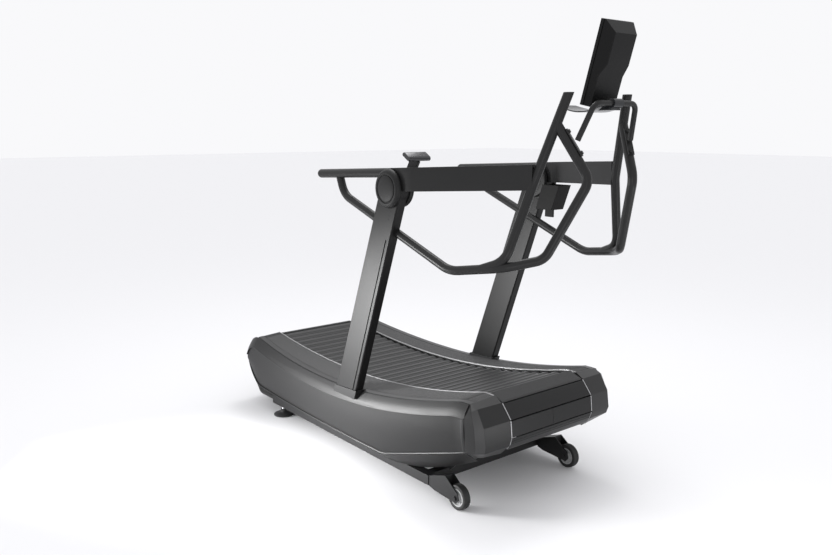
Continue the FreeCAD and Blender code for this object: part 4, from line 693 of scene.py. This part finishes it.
# ---------------------------------------------------------------------------------------------------------- hubs
# The handrails meet each upright at a round hub: a dished plastic cap outside, a stepped housing inside.
CAP_OUTLINE = ((0.0, 0.4392), (0.018, 0.4390), (0.034, 0.4382), (0.046, 0.4366), (0.0488, 0.4350),
               (0.0495, 0.4330), (0.0515, 0.4330), (0.0530, 0.4352), (0.0560, 0.4368), (0.0605, 0.4362),
               (0.0655, 0.4340), (0.0695, 0.4300), (0.0720, 0.4250), (0.0730, 0.4200), (0.0728, 0.4188),
               (0.0700, 0.4185), (0.0700, 0.4170), (0.0722, 0.4168), (0.0722, 0.4141), (0.0, 0.4141))
HOUSING_OUTLINE = ((0.0086, 0.3729), (0.0712, 0.3729), (0.0720, 0.3722), (0.0720, 0.3650), (0.0705, 0.3640),
                   (0.0705, 0.3628), (0.0720, 0.3620), (0.0718, 0.3585), (0.0700, 0.3555), (0.0660, 0.3537),
                   (0.0480, 0.3530), (0.0460, 0.3540), (0.0440, 0.3530), (0.0086, 0.3530))
hub_plastic = coat("hub_plastic", (0.005, 0.005, 0.0051), 0.50, grain=1300.0, depth=0.06)
for node, outline in (("hub_caps", CAP_OUTLINE), ("hub_housings", HOUSING_OUTLINE)):
    hubs = bmesh.new()
    for sign in (1, -1):
        part = ring([(radius, sign * out) for radius, out in outline], Vector((HUB.x, 0.0, HUB.z)), 96,
                    closed=outline is HOUSING_OUTLINE)
        data = bpy.data.meshes.new("passing")
        part.to_mesh(data)
        part.free()
        hubs.from_mesh(data)
        bpy.data.meshes.remove(data)
    settle(hubs, f"{node}_shown", hub_plastic, "frame", (node,), 40.0)

# -------------------------------------------------------------------------------------------------- handrail cage
# Round-nosed tubes run back from the hubs and flat bars run forward. A long bent tube hangs below each, and a
# push horn rises through the front. All are welded steel in the same satin charcoal.
tube_coat = coat("tube_coat", (0.017, 0.017, 0.0172), 0.36, grain=1000.0, depth=0.05, mottle=0.06,
                 Specular_IOR_Level=0.20)
for node in ("handrail_left", "handrail_right", "lower_tube_left", "lower_tube_right", "horn_left", "horn_right"):
    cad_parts[node].data.materials[0] = tube_coat
for side in ("left", "right"):
    softened(f"rail_bar_{side}", tube_coat, "frame", 0.0030, 3)
plug_plastic = coat("plug_plastic", (0.020, 0.020, 0.020), 0.5)
softened("horn_caps", plug_plastic, "frame", 0.0010)

# --------------------------------------------------------------------------------------------------- console arch
# A thinner tube arches between the fronts of the cage. Its foot plates are bolted on with hexagon heads.
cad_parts["arch_tube"].data.materials[0] = tube_coat
bolt_black = coat("bolt_black", (0.02, 0.02, 0.02), 0.35, Metallic=0.4)
KNEE = Vector((1.007, 0.116, 1.253))
JOIN = Vector((0.853, 0.218, 1.240))
HORN_TOP = Vector((0.938, 0.154, 1.537))
merge = JOIN + (HORN_TOP - JOIN) * 0.66
front_way = (merge - KNEE).normalized()
ARCH_TOP = Vector((1.009, 0.108, 1.503))
arch_foot = ARCH_TOP + Vector((-0.046, 0.036, -0.128))
plate_middle = KNEE + front_way * 0.133
outward = arch_foot - plate_middle
outward = (outward - front_way * outward.dot(front_way)).normalized()
bolts = bmesh.new()
for sign in (1, -1):
    for along in (-0.041, 0.041):
        place = plate_middle + outward * 0.0208 + front_way * along
        hex_bolt(bolts, (place.x, sign * place.y, place.z), (outward.x, sign * outward.y, outward.z),
                 0.0120, 0.0052, 0.0010)
settle(bolts, "arch_bolts_shown", bolt_black, "frame", ("arch_bolts",))

# ----------------------------------------------------------------------------------------------- resistance lever
# A flat steel arm pivots in the right hub and carries a broad T-shaped grip in dark polished metal.
softened("lever_arm", black_coat, "lever", 0.0015)
chrome = coat("polished_chrome", (0.075, 0.075, 0.078), 0.16, grain=400.0, depth=0.01, mottle=0.03, Metallic=1.0)
softened("lever_grip", chrome, "lever", 0.0040, 3)

# -------------------------------------------------------------------------------------------------------- console
# A slim plastic case stands on a glossy tray clamped to the arch. It has a narrow neck, a deeper head with
# bevelled sides, and a front with a dark display and three soft keys.
console_plastic = coat("console_plastic", (0.003, 0.003, 0.0031), 0.38, grain=1500.0, depth=0.06,
                       Specular_IOR_Level=0.18)
softened("console_back", console_plastic, "console", 0.0030, 3)
softened("console_front", console_plastic, "console", 0.0022, 3)
tray_plastic = coat("tray_plastic", (0.016, 0.017, 0.019), 0.16, grain=900.0, depth=0.02)
softened("console_tray", tray_plastic, "console", 0.0012)

screen_glass = coat("screen_glass", (0.012, 0.014, 0.016), 0.10, grain=300.0, depth=0.0)
softened("console_screen", screen_glass, "console", 0.0006)
KEY_GREEN = (0.05, 0.22, 0.08)
KEY_GREY = (0.22, 0.22, 0.225)
for key, colour, slot in (("start", KEY_GREEN, "button_green"), ("up", KEY_GREY, "button_grey"),
                          ("down", KEY_GREY, "button_grey")):
    key_rubber = coat(f"button_{key}_rubber", colour, 0.5, grain=1400.0, depth=0.08)
    softened(f"button_{key}", key_rubber, f"{key}_key", 0.0012, 3)

# -------------------------------------------------------------------------------------------------- accessory box
# A folded black tray hangs under the left rail from a small strap, open at the top for a phone or keys.
box_plastic = coat("box_plastic", (0.008, 0.008, 0.008), 0.55, grain=900.0, depth=0.12,
                   Specular_IOR_Level=0.12)
softened("accessory_box", box_plastic, "frame", 0.0015)
